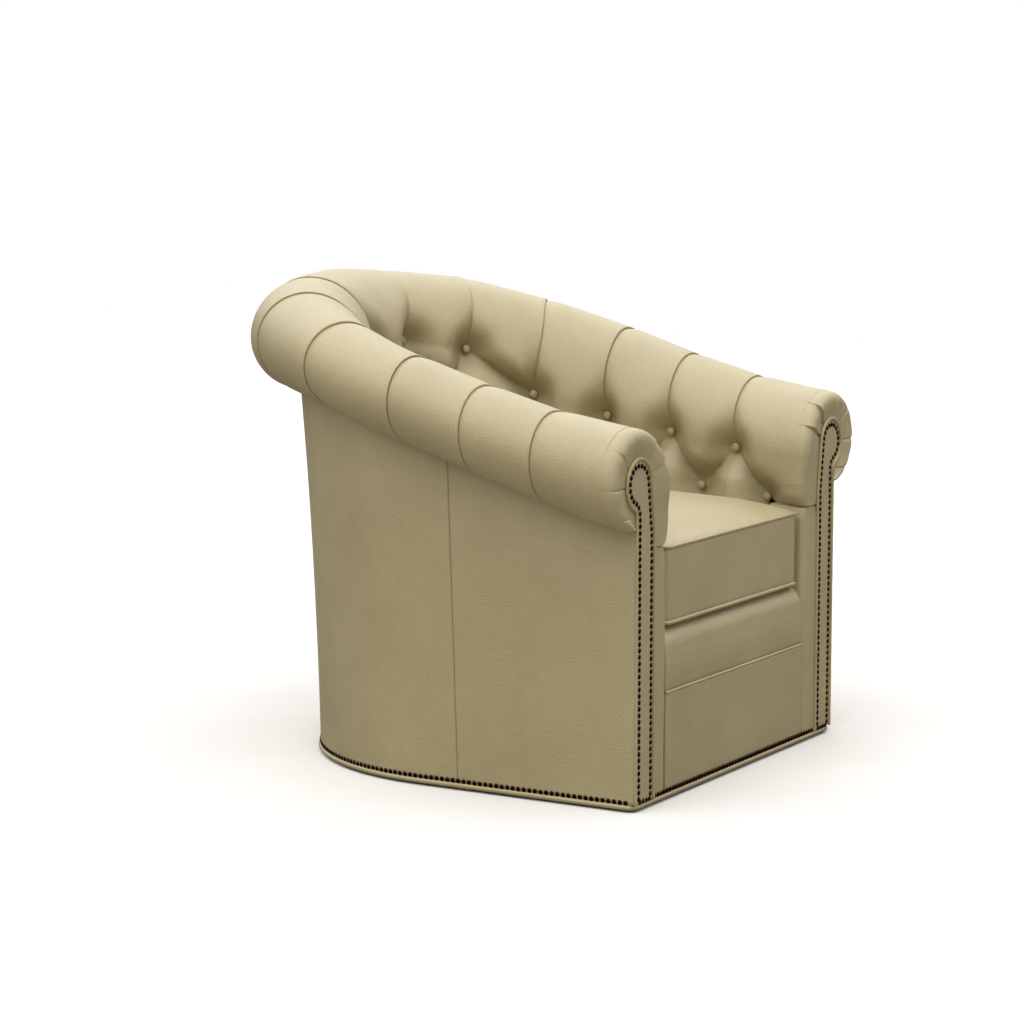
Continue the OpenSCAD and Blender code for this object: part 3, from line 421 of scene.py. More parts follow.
def to_mesh(name, points, faces):
    """A smooth mesh object at the origin, from points in millimetres."""
    mesh = bpy.data.meshes.new(name)
    mesh.from_pydata(np.asarray(points) * MM, [], faces)
    mesh.shade_smooth()
    mesh.update()
    made = bpy.data.objects.new(name, mesh)
    bpy.context.scene.collection.objects.link(made)
    return made


def grid_faces(rows, columns, wrap_rows=False):
    """Four-sided faces between neighbouring rows of a grid of points whose columns go round."""
    i, j = np.meshgrid(np.arange(rows if wrap_rows else rows - 1), np.arange(columns), indexing="ij")
    i2, j2 = (i + 1) % rows, (j + 1) % columns
    corners = (i * columns + j, i2 * columns + j, i2 * columns + j2, i * columns + j2)
    return np.stack(corners, -1).reshape(-1, 4)


def volume(points, faces):
    """Signed volume inside four-sided faces: positive when they point outwards."""
    a, b, c, d = (points[faces[:, k]] for k in range(4))
    return np.einsum("ij,ij->i", a, np.cross(b, c) + np.cross(c, d)).sum() / 6


def padded_skin(name, grid, ring=False):
    """A mesh from a grid of points [row, around, xyz] that goes round in its second direction. Its first
    and last rows are closed by a face each, or joined to each other where ring is true."""
    rows, around = grid.shape[:2]
    points = grid.reshape(-1, 3)
    faces = grid_faces(rows, around, wrap_rows=ring)
    inside_out = volume(points, faces) < 0
    if inside_out:
        faces = faces[:, ::-1]
    caps = []
    if not ring:
        first, last = np.arange(around), np.arange(around) + (rows - 1) * around
        caps = [first[::-1].tolist(), last.tolist()] if inside_out else [first.tolist(), last[::-1].tolist()]
    return to_mesh(name, points, [*faces.tolist(), *caps])


def mark(made, values):
    """Keeps the painted shade at each point, which darkens the colour of its material."""
    place = made.data.attributes.new("painted_shade", "FLOAT", "POINT").data
    place.foreach_set("value", np.ravel(values).astype(np.float32))


def fit(made, material, body, replaced):
    """Gives a piece its material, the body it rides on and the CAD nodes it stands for."""
    made.data.materials.append(material)
    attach(made, body)
    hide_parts(*replaced)


def walked(path):
    """Length along a path of straight pieces up to each of its points."""
    return np.concatenate([[0], np.cumsum(np.linalg.norm(np.diff(path, axis=0), axis=1))])


def points_at(path, at):
    """Points of a path of straight pieces at the lengths along it."""
    return np.stack([np.interp(at, walked(path), path[:, k]) for k in range(path.shape[1])], -1)


# The roll's front end closes round the facing, whose nail line, head and neck are these
FACING_IN, FACING_OUT, FACING_R, NECK_R = 334.5, 375.5, 32.0, 24.0
HEAD_X, HEAD_Z = 378.5, 555.0
BORDER = 11.4  # from the nail line to the piping
FRONT_FOOT = FLOOR_GAP + 10.0


def keyhole(e, count=420):
    """The facing's outline, e mm outside its nail line, from its outer foot over the head to its inner
    foot. Straight sides join a round head, on the outer side through a neck that curves the other way."""
    r, n = FACING_R + e, NECK_R - e
    xo, xi = FACING_OUT + e, FACING_IN - e
    nz = HEAD_Z - math.sqrt((r + n) ** 2 - (xo + n - HEAD_X) ** 2)
    touch_x, touch_z = xi, HEAD_Z - 88  # where the inner side turns towards the head
    reach = math.hypot(touch_x - HEAD_X, touch_z - HEAD_Z)
    left = 2 * math.pi + math.atan2(touch_z - HEAD_Z, touch_x - HEAD_X) - math.acos(r / reach)
    right = math.atan2(nz - HEAD_Z, xo + n - HEAD_X)
    neck = np.linspace(math.pi, right + math.pi, 24)
    head = np.linspace(right, left, 90)
    line = np.concatenate([
        [[xo, FRONT_FOOT]],
        np.stack([xo + n + n * np.cos(neck), nz + n * np.sin(neck)], -1),
        np.stack([HEAD_X + r * np.cos(head), HEAD_Z + r * np.sin(head)], -1),
        [[touch_x, touch_z], [xi, FRONT_FOOT]],
    ])
    return points_at(line, np.linspace(0, walked(line)[-1], count))


# Angles round the head, in degrees: thin grooves, each with its depth, and the folds beside the seat
GATHERS = {-37: 2.8, -1: 3.0, 40: 3.2, 76: 1.4}
FOLDS = (127, 158)


def gathers(edge, side):
    """Depth of each point of the roll's front end in the hide's gathers round the facing's head, which are
    narrow grooves like bells, and in the two folds on the seat's side, whose upper edge laps over."""
    dx, dz = side * edge[:, 0] - HEAD_X, edge[:, 2] - HEAD_Z
    angle, far = np.degrees(np.arctan2(dz, dx)), np.hypot(dx, dz)
    thin, lapping = np.zeros(len(edge)), np.zeros(len(edge))
    for at, deep in GATHERS.items():
        gap = np.abs(np.radians((angle - at + 180) % 360 - 180) * far)
        thin += deep * np.exp(-((gap / 1.7) ** 1.3)) - 0.9 * bell(gap - 14, 9)
    for at in FOLDS:
        gap = np.radians(angle % 360 - at) * far
        lapping += np.where(gap > 0, 5.5 * np.exp(-gap / 16.0), -1.4 * np.exp(gap / 14.0))
    shown = np.clip((edge[:, 2] - 478) / 25, 0, 1)
    return thin * shown, lapping * shown * (far < 150)


ROUND_START = 12.0  # behind the arm's front, where the roll begins to turn in
PAD_T = 52.0  # from the inside wall back to the frame
DECK_Z = 299.0  # top of the deck under the cushion, which the padding goes down past
WALL_LOW = DECK_Z - 6


def wall_columns(p0, p1):
    """Stations from p0 to p1, 4 mm apart and closer at each pleat, where the lap needs sharp edges."""
    close = np.array([0, 0.5, 1.0, 1.6, 2.3, 3.1, 4.2, 5.8, 8, 11.5, 16, 21])
    near = np.concatenate([-close[::-1], close[1:]]) / STATION
    spread = np.arange(p0, p1, 3.7 / STATION)
    pleats = np.arange(math.ceil(p0 - 0.01), math.floor(p1 + 0.01) + 1)
    away = np.min(np.abs(spread[:, None] - pleats[None]), axis=1) > 24 / STATION
    seat_ends = [-0.501, -0.499, LAST + 0.499, LAST + 0.501]
    every = np.concatenate([spread[away], (pleats[:, None] + near[None]).ravel(), [p0, p1], seat_ends])
    return np.unique(np.round(every[(every >= p0) & (every <= p1)], 6))


def roll_end(m):
    """Angle from the roll's top round to where it meets the outside panel."""
    foot = panel_r(m, roll_low(m) + 16) + 0.6
    return math.pi - np.arcsin(np.clip((foot - crest_r(m)) / roll_size(m)[0], 0, 1))


def outline_shares(gathered):
    """Where the outline has points on the wall's rise and on the roll, as shares of each: evenly, and
    closer together at each gather and fold of the roll's front end."""
    rise, roll = np.linspace(0, 1, 48)[:-1], np.linspace(0, 1, 96)
    if not gathered:
        return rise, roll
    u = np.linspace(0, 1, 1500)
    close = np.array([-4.4, -3, -2, -1.3, -0.7, -0.3, 0, 0.3, 0.7, 1.3, 2, 3, 4.4])
    (a, b), rc, zc, z1 = roll_size(FRONT_P), crest_r(FRONT_P), crest_z(FRONT_P), ROW_1[1][0]
    turn = u * roll_end(FRONT_P)
    on_roll = np.degrees(np.arctan2(zc - b + b * np.cos(turn) - HEAD_Z, rc + a * np.sin(turn) - HEAD_X))
    turn = u * math.pi / 2
    across = rc - (rc - wall_r(FRONT_P, z1)) * np.cos(turn)
    on_rise = np.degrees(np.arctan2(z1 + (zc - z1) * np.sin(turn) - HEAD_Z, across - HEAD_X)) % 360
    # the roll is about 250 mm round, and the rise 180 mm
    roll = np.concatenate([roll, *[np.interp(-at, -on_roll, u) + close / 250 for at in GATHERS]])
    rise = np.concatenate([rise, *[np.interp(-at, -on_rise, u) + close / 180 for at in FOLDS]])
    ends = ((rise, 0.99), (roll, 1.001))
    return [np.unique(np.round(every[(every >= 0) & (every < end)], 5)) for every, end in ends]


def profile(p, gathered=False):
    """Outline of the padding at each station: up the wall, over the roll and back inside.
    Returns the points [station, point, xyz], and the painted shade there."""
    m = half_p(p)[:, None]
    rise_share, roll_share = outline_shares(gathered)
    low = np.where(m < CREASE_P, seat_seam(m) + 0.4, WALL_LOW)
    z1 = np.interp(m, *ROW_1)
    # the rows above the front crease are the same on both sides of the second button
    seat_rows, wall_rows = np.linspace(0, 1, 40)[None, :-1], np.linspace(0, 1, 50)[None, :-1]
    z = np.concatenate([mix(low, CREASE_Z + 0.5, seat_rows), mix(CREASE_Z + 0.5, z1, wall_rows)], 1)
    depth, shade_share = tufting(m, z)
    wall = [wall_r(m, z) + depth, z, shade_share, z]
    t = rise_share[None] * math.pi / 2
    rc, zc, r1 = crest_r(m), crest_z(m), wall_r(m, z1)
    height = z1 + (zc - z1) * np.sin(t)
    depth, shade_share = tufting(m, height)
    rise = [rc - (rc - r1) * np.cos(t) + depth * np.cos(t), height - depth * np.sin(t), shade_share, height]
    a, b = roll_size(m)
    t = roll_share[None] * roll_end(m)
    over = np.full_like(t, 1500.0)
    depth, shade_share = tufting(m, over)
    depth = depth * np.minimum(1, 1.6 * np.cos(t / 2))
    roll = [rc + (a - depth) * np.sin(t), zc - b + (b - depth) * np.cos(t), shade_share, over]
    # four points behind the padding, where the frame stands
    top = roll_low(m) + 58
    bend = np.where(m < 2, mix(low, top, 0.5), SEAT_Z)
    still = wall_r(m, SEAT_Z) + PAD_T
    back = still + BACK_LEAN * ease((m - 1.5) / 3.5) * np.maximum(top - SEAT_Z, 0)
    flat = np.zeros((len(p), 4))
    hidden = [
        np.concatenate([roll[0][:, -1:], back, still - 1, still], 1),
        np.concatenate([top, top, bend, low], 1), flat, flat,
    ]
    r, z, shade_share, height = [np.concatenate(parts, 1) for parts in zip(wall, rise, roll, hidden)]
    return placed(lapped(p[:, None], height), r, z), shade_share


def front_end(edge, side):
    """Rings that close the roll's front end. Round the roll the hide puffs 6 mm forward on an 18 mm radius,
    turns past a quarter and slopes back to the piping, all tighter where there is less room before the
    piping; beside the seat it turns on 12 mm and stays flat."""
    inner = side * edge[:, 0] < 330
    line = keyhole(BORDER + 2.0)
    room = np.min(np.hypot(side * edge[:, :1] - line[None, :, 0], edge[:, 2:] - line[None, :, 1]), axis=1)
    share = np.where(inner, ease((edge[:, 2] - 490) / 60), 1.0) * ease((room - 8) / 22)
    share[-4:] = 0  # the outline's four hidden points stay behind the facing board
    sweep, deep = np.radians(mix(90.0, 108.0, share)), mix(11.6, 18.0, share)
    radius = np.minimum(mix(12.0, 18.0, share), np.maximum(room, 3) * 0.6)
    # the line inside the roll that its front end closes on
    spine_x = side * np.interp(edge[:, 2], [CREASE_Z - 12, 506, HEAD_Z], [322, 336, HEAD_X])
    spine = np.stack([spine_x, edge[:, 1], np.minimum(edge[:, 2], HEAD_Z)], -1)
    away = edge - spine
    away[:, 1] = 0
    length = np.maximum(np.linalg.norm(away, axis=-1), 1e-6)
    away /= length[:, None]
    thin, lapping = gathers(edge, side)
    folded = thin + lapping
    start, seat = ROUND_START - FRONT_REACH, 0.8 - FRONT_REACH
    rings = []
    for f in np.linspace(0, 1, 17):
        turn = f * sweep
        ring = edge - away * (radius * (1 - np.cos(turn)))[:, None]
        ring[:, 1] = start - deep * np.sin(turn)
        push = away * np.cos(turn)[:, None]
        push[:, 1] = -np.sin(turn)
        sink = thin * mix(0.12, 1.0, ease((f - 0.25) / 0.6)) + lapping * mix(0.15, 1.0, ease(f * 1.4))
        rings.append(ring - push * sink[:, None])
    inset, brink = radius * (1 - np.cos(sweep)), start - deep * np.sin(sweep)
    for k in (0.12, 0.25, 0.4, 0.55, 0.7, 0.85, 1.0, 1.15):
        ring = edge - away * np.minimum(inset + np.maximum(room - inset, 1) * k, length - 3)[:, None]
        kept = np.where(folded > 0, min(1, 8 * (1.15 - k)), 0.6 * max(0, 1 - 1.4 * k))
        ring[:, 1] = mix(brink, seat, ease(k)) + kept * folded
        rings.append(ring)
    last = rings[-1]
    for k in (0.6, 0.05):
        ring = mix(spine, last, k)
        ring[:, 1] = last[:, 1]
        rings.append(ring)
    return np.array(rings), away, thin * 0.12 + lapping * 0.15


# Pigmented, drum-milled cowhide in khaki cream: a pebble grain where the hide is slack, drawn at 3 mm
# so that it shows, finer pores in it, a satin topcoat, and painted shade, a darker colour in creases, pits
# and seams.
def cow_leather(name, shade, light, deep, grain):
    material, tree, place = blank_material(name)
    cloud = node(tree, "TexNoise", {"Vector": place, "Scale": per(143), "Detail": 5.0, "Roughness": 0.6})
    wrung = node(tree, "TexNoise", {"Vector": place, "Scale": per(16.7), "Detail": 3.0})
    bent = node(tree, "VectorMath", {0: wrung.outputs["Color"], "Scale": 1.5 * MM}, operation="SCALE")
    moved = node(tree, "VectorMath", {0: place, 1: bent.outputs["Vector"]}, operation="ADD").outputs["Vector"]
    pebble = node(tree, "TexVoronoi", {"Vector": moved, "Scale": per(2.8)}, feature="SMOOTH_F1")
    pore = node(tree, "TexVoronoi", {"Vector": moved, "Scale": per(1.7)}, feature="DISTANCE_TO_EDGE")
    pore_depth = node(tree, "MapRange", {"Value": pore.outputs["Distance"], "From Max": 0.25})
    height = node(tree, "Math", {
        0: pore_depth.outputs["Result"], 1: 0.35, 2: pebble.outputs["Distance"],
    }, operation="MULTIPLY_ADD").outputs["Value"]
    bump = node(tree, "Bump", {"Height": height, "Strength": grain, "Distance": 0.7 * MM})
    colour = two_colours(tree, cloud.outputs["Fac"], shade, light, 0.3, 0.7)
    shade_share = node(tree, "Attribute", attribute_name="painted_shade").outputs["Fac"]
    # Painted shade: the deep colour is mixed in as far as the shade attribute on the mesh says.
    shaded_colour = node(tree, "MixRGB", {"Fac": shade_share, "Color1": colour, "Color2": linear(deep)})
    rough = node(tree, "MapRange", {"Value": height, "To Min": 0.5, "To Max": 0.4})
    skin = node(tree, "BsdfPrincipled", {
        "Base Color": shaded_colour.outputs["Color"], "Roughness": rough.outputs["Result"],
        "Normal": bump.outputs["Normal"], "IOR": 1.5, "Sheen Weight": 0.04, "Sheen Roughness": 0.5,
    })
    node(tree, "OutputMaterial", {"Surface": skin.outputs["BSDF"]})
    return material


# The third colour is the painted shade in the creases, button pits and seams.
hide = cow_leather("Satin_khaki_cowhide", "#a1936b", "#aa9c74", "#847753", grain=0.8)


def padding(name, p0, p1, replaced):
    """A length of tufted padding between two stations, puffed and gathered at the roll's front end."""
    p = wall_columns(p0, p1)
    ends = p0 <= FRONT_P or p1 >= LAST - FRONT_P
    side = 1 if p1 < 9 else -1
    if ends:
        start = FRONT_P + ROUND_START / PITCH
        p = p[half_p(p) > start + 0.02]
        p = np.sort(np.append(p, start if side > 0 else LAST - start))
    grid, shade_share = profile(p, gathered=ends)
    if ends:
        edge = grid[0 if side > 0 else -1]
        rings, away, fold = front_end(edge, side)
        fading = bell((half_p(p) - FRONT_P) * PITCH - ROUND_START, 12)
        grid = grid - away[None] * (fold[None] * fading[:, None])[..., None]
        # the front end's rings take no painted shade
        unshaded = np.zeros(rings.shape[:2])
        if side > 0:
            grid, shade_share = np.concatenate([rings[::-1], grid[1:]]), np.concatenate([unshaded, shade_share[1:]])
        else:
            grid, shade_share = np.concatenate([grid[:-1], rings]), np.concatenate([shade_share[:-1], unshaded])
    made = padded_skin(name, grid)
    mark(made, shade_share)
    fit(made, hide, "tub", [replaced])


padding("tufted_arm_right_leather", FRONT_P, 2.0, "tufted_arm_right")
padding("tufted_arm_left_leather", 9.0, LAST - FRONT_P, "tufted_arm_left")
padding("tufted_back_leather", 2.0, 9.0, "tufted_back")


# Covered buttons: a domed shell with leather pressed over it, 16 mm across, tied through the pad.
# The cover is folded under the rim, which leaves faint puckers round the edge.
BUTTON_R, BUTTON_LIFT = 7.9, 13.0
RIM = 0.72  # share of the button's outline at which the dome ends and the tucked rim begins


def button_frames():
    """Place and directions of each button, both arms and the back: middle, outward, sideways, upward."""
    both = [*BUTTONS, *[(LAST - m, z) for m, z in BUTTONS if m < MIDDLE]]
    p, z = np.array([b[0] for b in both]), np.array([b[1] for b in both])
    m = half_p(p)
    r = wall_r(m, z) + tufting(m[:, None], z[:, None])[0][:, 0]
    p = twisted(p, z)
    x, y = on_plan(p, r)
    lean = np.where(z > SEAT_Z, np.arctan(mix(ARM_LEAN, BACK_LEAN, ease((m - 1.5) / 3.5))), 0)
    angle = np.radians(turned(p)) + np.pi
    out = np.stack([np.cos(lean) * np.cos(angle), np.cos(lean) * np.sin(angle), np.sin(lean)], -1)
    sideways = np.stack([-np.sin(angle), np.cos(angle), np.zeros_like(angle)], -1)
    return np.stack([x, y, z], -1), out, sideways, np.cross(out, sideways)


def covered_buttons():
    """Each button is a dome: its height falls as the cosine of the angle from its middle, down to a
    tucked rim and a stem in the pit. The cover's puckers are waves round the rim."""
    middle, out, sideways, up = button_frames()
    rows, around = 12, 28
    t = np.linspace(0, 1, rows)[:, None]
    turn = np.linspace(0, 2 * np.pi, around, endpoint=False)[None]
    dome, tuck = t / RIM * np.pi / 2, (t - RIM) / (1 - RIM)
    radius = BUTTON_R * np.where(t < RIM, np.sin(dome), 1 - tuck**2 * 0.55)
    rise = BUTTON_LIFT - np.where(t < RIM, 3.6 * (1 - np.cos(dome)), 3.6 + 12 * tuck) + 0 * turn
    pucker = 1 + 0.02 * np.cos(14 * turn) * np.clip((t - 0.35) / 0.4, 0, 1)
    radius = np.maximum(radius, 0.15) * pucker
    points = sum(
        (part[None, ..., None] * way[:, None, None]
         for part, way in ((radius * np.cos(turn), sideways), (radius * np.sin(turn), up), (rise, out))),
        middle[:, None, None],
    )
    faces = grid_faces(rows, around)
    inside_out = volume(points[0].reshape(-1, 3), faces) < 0
    first, last = np.arange(around), np.arange(around) + (rows - 1) * around
    caps = np.stack([first, last[::-1]] if inside_out else [first[::-1], last])
    faces = faces[:, ::-1] if inside_out else faces
    starts = (np.arange(len(middle)) * rows * around)[:, None, None]
    every = [(part[None] + starts).reshape(-1, part.shape[1]).tolist() for part in (faces, caps)]
    return to_mesh("covered_buttons", points.reshape(-1, 3), every[0] + every[1])


fit(covered_buttons(), hide, "tub", ["tufting_buttons"])


# Outside panels: leather backed with card, stretched from the roll to the bottom rail. The hide of
# the arms meets that of the back in a plain upright seam, whose edges turn in.
SEAM_P = (347 - FIRST_PLEAT) / PITCH  # the seam's foot is 347 mm behind the arm's front
SEAM_LEAN, SEAM_UP = 17.0, 540.0  # it leans back by so much at this height above its foot
PANEL_FOOT = FLOOR_GAP + 9.4
PANEL_T = 3.0


def outside_panel(name, p0, p1, seams, replaced):
    """A strip from station p0 to p1: its distance is the panel's lean, with a slight slackness, and
    falls off as a quarter circle over the last 2.4 mm before a seam."""
    step = np.linspace(0, 1, int(abs(p1 - p0) * 12) + 8)
    near = np.array([0, 0.5, 1.1, 1.9, 3, 5, 8]) / PITCH
    even = mix(p0 + 10 / PITCH, p1 - 10 / PITCH, step)
    p = np.unique(np.round(np.concatenate([p0 + near, even, p1 - near]), 6))
    m = half_p(p)[:, None]
    t = np.linspace(0, 1, 72)[None]
    z = mix(PANEL_FOOT, roll_low(m) + 14, t)
    from_seams = [(p - s) * PITCH for s in seams]
    gap = np.min(np.abs(from_seams), axis=0)[:, None]
    slack = 0.5 * np.sin(3.1 * m + z / 130) * np.sin(np.pi * t)
    outer = panel_r(m, z) + slack - 1.6 * hollow(gap, 2.4) - 0.6 * hollow(gap, 40.0)
    near_seam = np.sum(bell(np.array(from_seams), 90), axis=0) * np.sign(MIDDLE - p)
    lean = SEAM_LEAN / PITCH * near_seam[:, None] * (z - PANEL_FOOT) / SEAM_UP
    p = p[:, None] + np.concatenate([lean, lean[:, ::-1]], 1)
    r, z = np.concatenate([outer, (outer - PANEL_T)[:, ::-1]], 1), np.concatenate([z, z[:, ::-1]], 1)
    made = padded_skin(name, placed(p, r, z))
    # painted shade along the seam's groove, fading within a few mm of it
    mark(made, np.exp(-gap / 1.5) * 0.4 + 0 * z)
    fit(made, hide, "tub", [replaced])


# the panels meet with a hair's gap at the seams
ARM_START, ARM_EDGE, BACK_EDGE = FRONT_P + 0.005, SEAM_P - 0.0005, SEAM_P + 0.0005
back_seams = [BACK_EDGE, LAST - BACK_EDGE]
outside_panel("outside_right_leather", ARM_START, ARM_EDGE, [ARM_EDGE], "outer_arm_right")
outside_panel("outside_left_leather", LAST - ARM_EDGE, LAST - ARM_START, [LAST - ARM_EDGE], "outer_arm_left")
outside_panel("outside_back_leather", *back_seams, back_seams, "outer_back")


# Piping: a cord in a folded strip of hide, sewn close to the cord so that small puckers show. A
# 9 mm one runs round the bottom edge, and 6 mm ones edge the two facings.
# The third colour is for painted shade, which the pipings carry no attribute for, so it does not show.
piping_hide = cow_leather("Piping_cowhide", "#9b8c63", "#a6986f", "#6f5f3c", grain=0.3)
WELT_R = 4.5
# half width, front and corner radius of the bottom edge
BASE_R, BASE_FRONT, BASE_CORNER = TUB_HALF - 1, -FRONT_REACH + 2, 14.0


def unit(ways):
    """The same directions, at length 1."""
    return ways / np.linalg.norm(ways, axis=-1, keepdims=True)


def piping(name, path, radius, upward, closed, body, replaced, step=4.0, seed=0.0):
    """A tube along a path, its radius rippled by the puckers of the stitching."""
    path = np.vstack([path, path[:1]]) if closed else path
    length = walked(path)[-1]
    at = np.linspace(0, length, int(length / step), endpoint=not closed)
    line = points_at(path, at)
    ahead = np.roll(line, -1, axis=0) - np.roll(line, 1, axis=0) if closed else np.gradient(line, axis=0)
    along = unit(ahead)
    side = unit(np.cross(np.asarray(upward, float), along))
    lift = np.cross(along, side)
    turn = np.linspace(0, 2 * np.pi, 16, endpoint=False)
    ripple = 1 + 0.035 * np.sin(at * 2 * np.pi / 9.0 + seed)[:, None] * (0.6 + 0.4 * np.cos(turn + 1))[None]
    ripple = ripple * (1 + 0.02 * np.sin(at * 2 * np.pi / 47.0 + seed))[:, None]
    ring = np.cos(turn)[None, :, None] * side[:, None] + np.sin(turn)[None, :, None] * lift[:, None]
    made = padded_skin(name, line[:, None] + radius * ripple[..., None] * ring, ring=closed)
    fit(made, piping_hide, body, [replaced])


def raised(flat, z):
    """Points in plan at one height."""
    return np.concatenate([flat, np.full((len(flat), 1), float(z))], 1)


def base_line(out, z):
    """The bottom edge in plan, out mm further out: a straight front with rounded corners, straight
    sides and a half circle."""
    r, f, c = BASE_R + out, BASE_FRONT - out, BASE_CORNER
    corner = np.radians(np.linspace(-90, 0, 9))
    right = np.stack([r - c + c * np.cos(corner), f + c + c * np.sin(corner)], -1)
    turn = np.radians(np.linspace(0, 180, 120))
    half = np.stack([r * np.cos(turn), r * np.sin(turn) - ARC_SET], -1)
    return raised(np.concatenate([right, half, right[::-1] * [-1, 1]]), z)


piping("base_piping", base_line(0.0, FLOOR_GAP + WELT_R), WELT_R, (0, 0, 1), True, "tub", "base_welt")


# Arm fronts: a padded strip of hide down the front of each arm, rounded over beside the seat, and
# a keyhole facing board wrapped in hide on it, edged with piping.
FACING_Y = -FRONT_REACH - 0.4
FRONT_HALF = ARM_IN + 5  # from the middle of the seat to the strips


def standing(flat, y, side):
    """An outline [x, z] stood up at depth y, as it is for the right arm (side 1) or mirrored (side -1)."""
    return np.stack([side * flat[:, 0], np.full(len(flat), y), flat[:, 1]], -1)


def facing_board(side, name, replaced):
    """The wrapped board: rings shrink from the outline, over its rounded edge, to its middle line, which
    stands 1 mm ahead of the edge."""
    edge = keyhole(BORDER - 2.5)
    spine_x = np.interp(edge[:, 1], [0, 469, 519, HEAD_Z], [354.5, 354.5, 362, HEAD_X])
    spine = np.stack([spine_x, np.minimum(edge[:, 1], HEAD_Z)], -1)
    rings = []
    for share, lift in (
        (1.0, -0.5), (1.0, -0.2), (0.97, 0.4), (0.93, 0.8), (0.85, 1.0),
        (0.7, 1.1), (0.45, 1.3), (0.2, 1.4), (0.06, 1.4),
    ):
        rings.append(standing(spine + (edge - spine) * share, FACING_Y - lift, side))
    fit(padded_skin(name, np.array(rings)), hide, "tub", [replaced])


def facing_piping(side, name, replaced):
    """Piping along the facing's outline, beside the board's edge."""
    path = standing(keyhole(BORDER), FACING_Y - 1.2, side)
    piping(name, path, 3.1, (0, 1, 0), False, "tub", replaced, step=3.0, seed=1.0)


def arm_front(side, name, replaced):
    """The strip in plan: from the seat's side round the padded corner to the outside, carried upwards.
    Above the deck it also runs back along the seat, and its top is drawn in under the tufting."""
    corner = np.radians(np.linspace(180, 270, 12))
    x0, y0, seat_end = FRONT_HALF, -FRONT_REACH, -391.5
    top = CREASE_Z + np.array([-28, -20, -13, -8, -4, -1.6, -0.4])
    z = np.concatenate([
        np.linspace(FRONT_FOOT, DECK_Z, 46), np.linspace(DECK_Z + 0.05, CREASE_Z - 36, 40), top,
    ])
    shut = np.concatenate([np.zeros(86), [0.2, 0.8, 1.9, 3.4, 5.2, 7.2, 9.2]])
    reach = np.where(z > DECK_Z, seat_end, y0 + 48)[:, None]
    front = np.concatenate([
        np.stack([x0 + 18 + 18 * np.cos(corner), y0 + 13 + 13 * np.sin(corner)], -1),
        [[340, y0 - 0.2], [380, y0], [386.4, y0 + 6], [386.4, y0 + 13], [x0 + 45, y0 + 13]],
    ])
    ends = ((x0 + 45, 0), (x0 + 2, 0), (x0, -4), (x0, -12))
    behind = np.stack([np.concatenate([x + 0 * reach, y + reach], 1) for x, y in ends], 1)
    flat = np.concatenate([behind, np.broadcast_to(front, (len(z), *front.shape))], 1)
    middle = np.array([x0 + 40, y0 + 10.0])
    soft = 0.8 * np.sin(z / 61 + 0.5)[:, None, None] * (flat[..., :1] < 300)
    flat = flat + unit(middle - flat) * (shut[:, None, None] + soft)
    # above the deck the strip's height falls with the front crease
    drop = CREASE_Z - seat_seam((flat[..., 1:] + FRONT_REACH - FIRST_PLEAT) / PITCH)
    height = z[:, None, None] - drop * np.clip((z - DECK_Z) / (CREASE_Z - DECK_Z), 0, 1)[:, None, None]
    grid = np.concatenate([side * flat[..., :1], flat[..., 1:], height], -1)
    made = padded_skin(name, grid)
    # painted shade where the top is drawn in under the tufting
    mark(made, np.broadcast_to((shut / 8)[:, None], grid.shape[:2]))
    fit(made, hide, "tub", [replaced])


for side, word in ((1, "right"), (-1, "left")):
    arm_front(side, f"arm_front_{word}_leather", f"arm_front_{word}")
    facing_board(side, f"facing_{word}_leather", f"facing_{word}")
    facing_piping(side, f"facing_{word}_piping", f"facing_welt_{word}")


# Nail heads: antiqued domed nails, 9.6 mm across and 11 mm apart, hammered along the bottom
# edge all round and in a loop on each facing.
NAIL_R, NAIL_PITCH = 4.8, 11.0
NAIL_ROW_Z, NAIL_ROW_END = 16.5, 318.5  # height of the bottom row, and where it ends in front
NAIL_SIDES = 10


# Antiqued bronze: chemically browned, and rubbed back to a coppery shine in patches.
def antique_metal(name):
    material, tree, place = blank_material(name)
    patches = node(tree, "TexNoise", {"Vector": place, "Scale": per(3.85), "Detail": 3.0}).outputs["Fac"]
    rough = node(tree, "MapRange", {"Value": patches, "To Min": 0.5, "To Max": 0.28})
    skin = node(tree, "BsdfPrincipled", {
        "Base Color": two_colours(tree, patches, "#1a100a", "#3c2417", 0.45, 0.75),
        "Metallic": 1.0, "Roughness": rough.outputs["Result"],
    })
    node(tree, "OutputMaterial", {"Surface": skin.outputs["BSDF"]})
    return material


nail_bronze = antique_metal("Antiqued_nail_bronze")


def spaced(path, closed=False):
    """Evenly spaced nails along a path, about a pitch apart, and the direction of the path there."""
    path = np.vstack([path, path[:1]]) if closed else path
    length = walked(path)[-1]
    count = int(round(length / NAIL_PITCH))
    at = (np.arange(count) + 0.5) * length / count
    here = points_at(path, at)
    return here, points_at(path, at + 0.5) - here


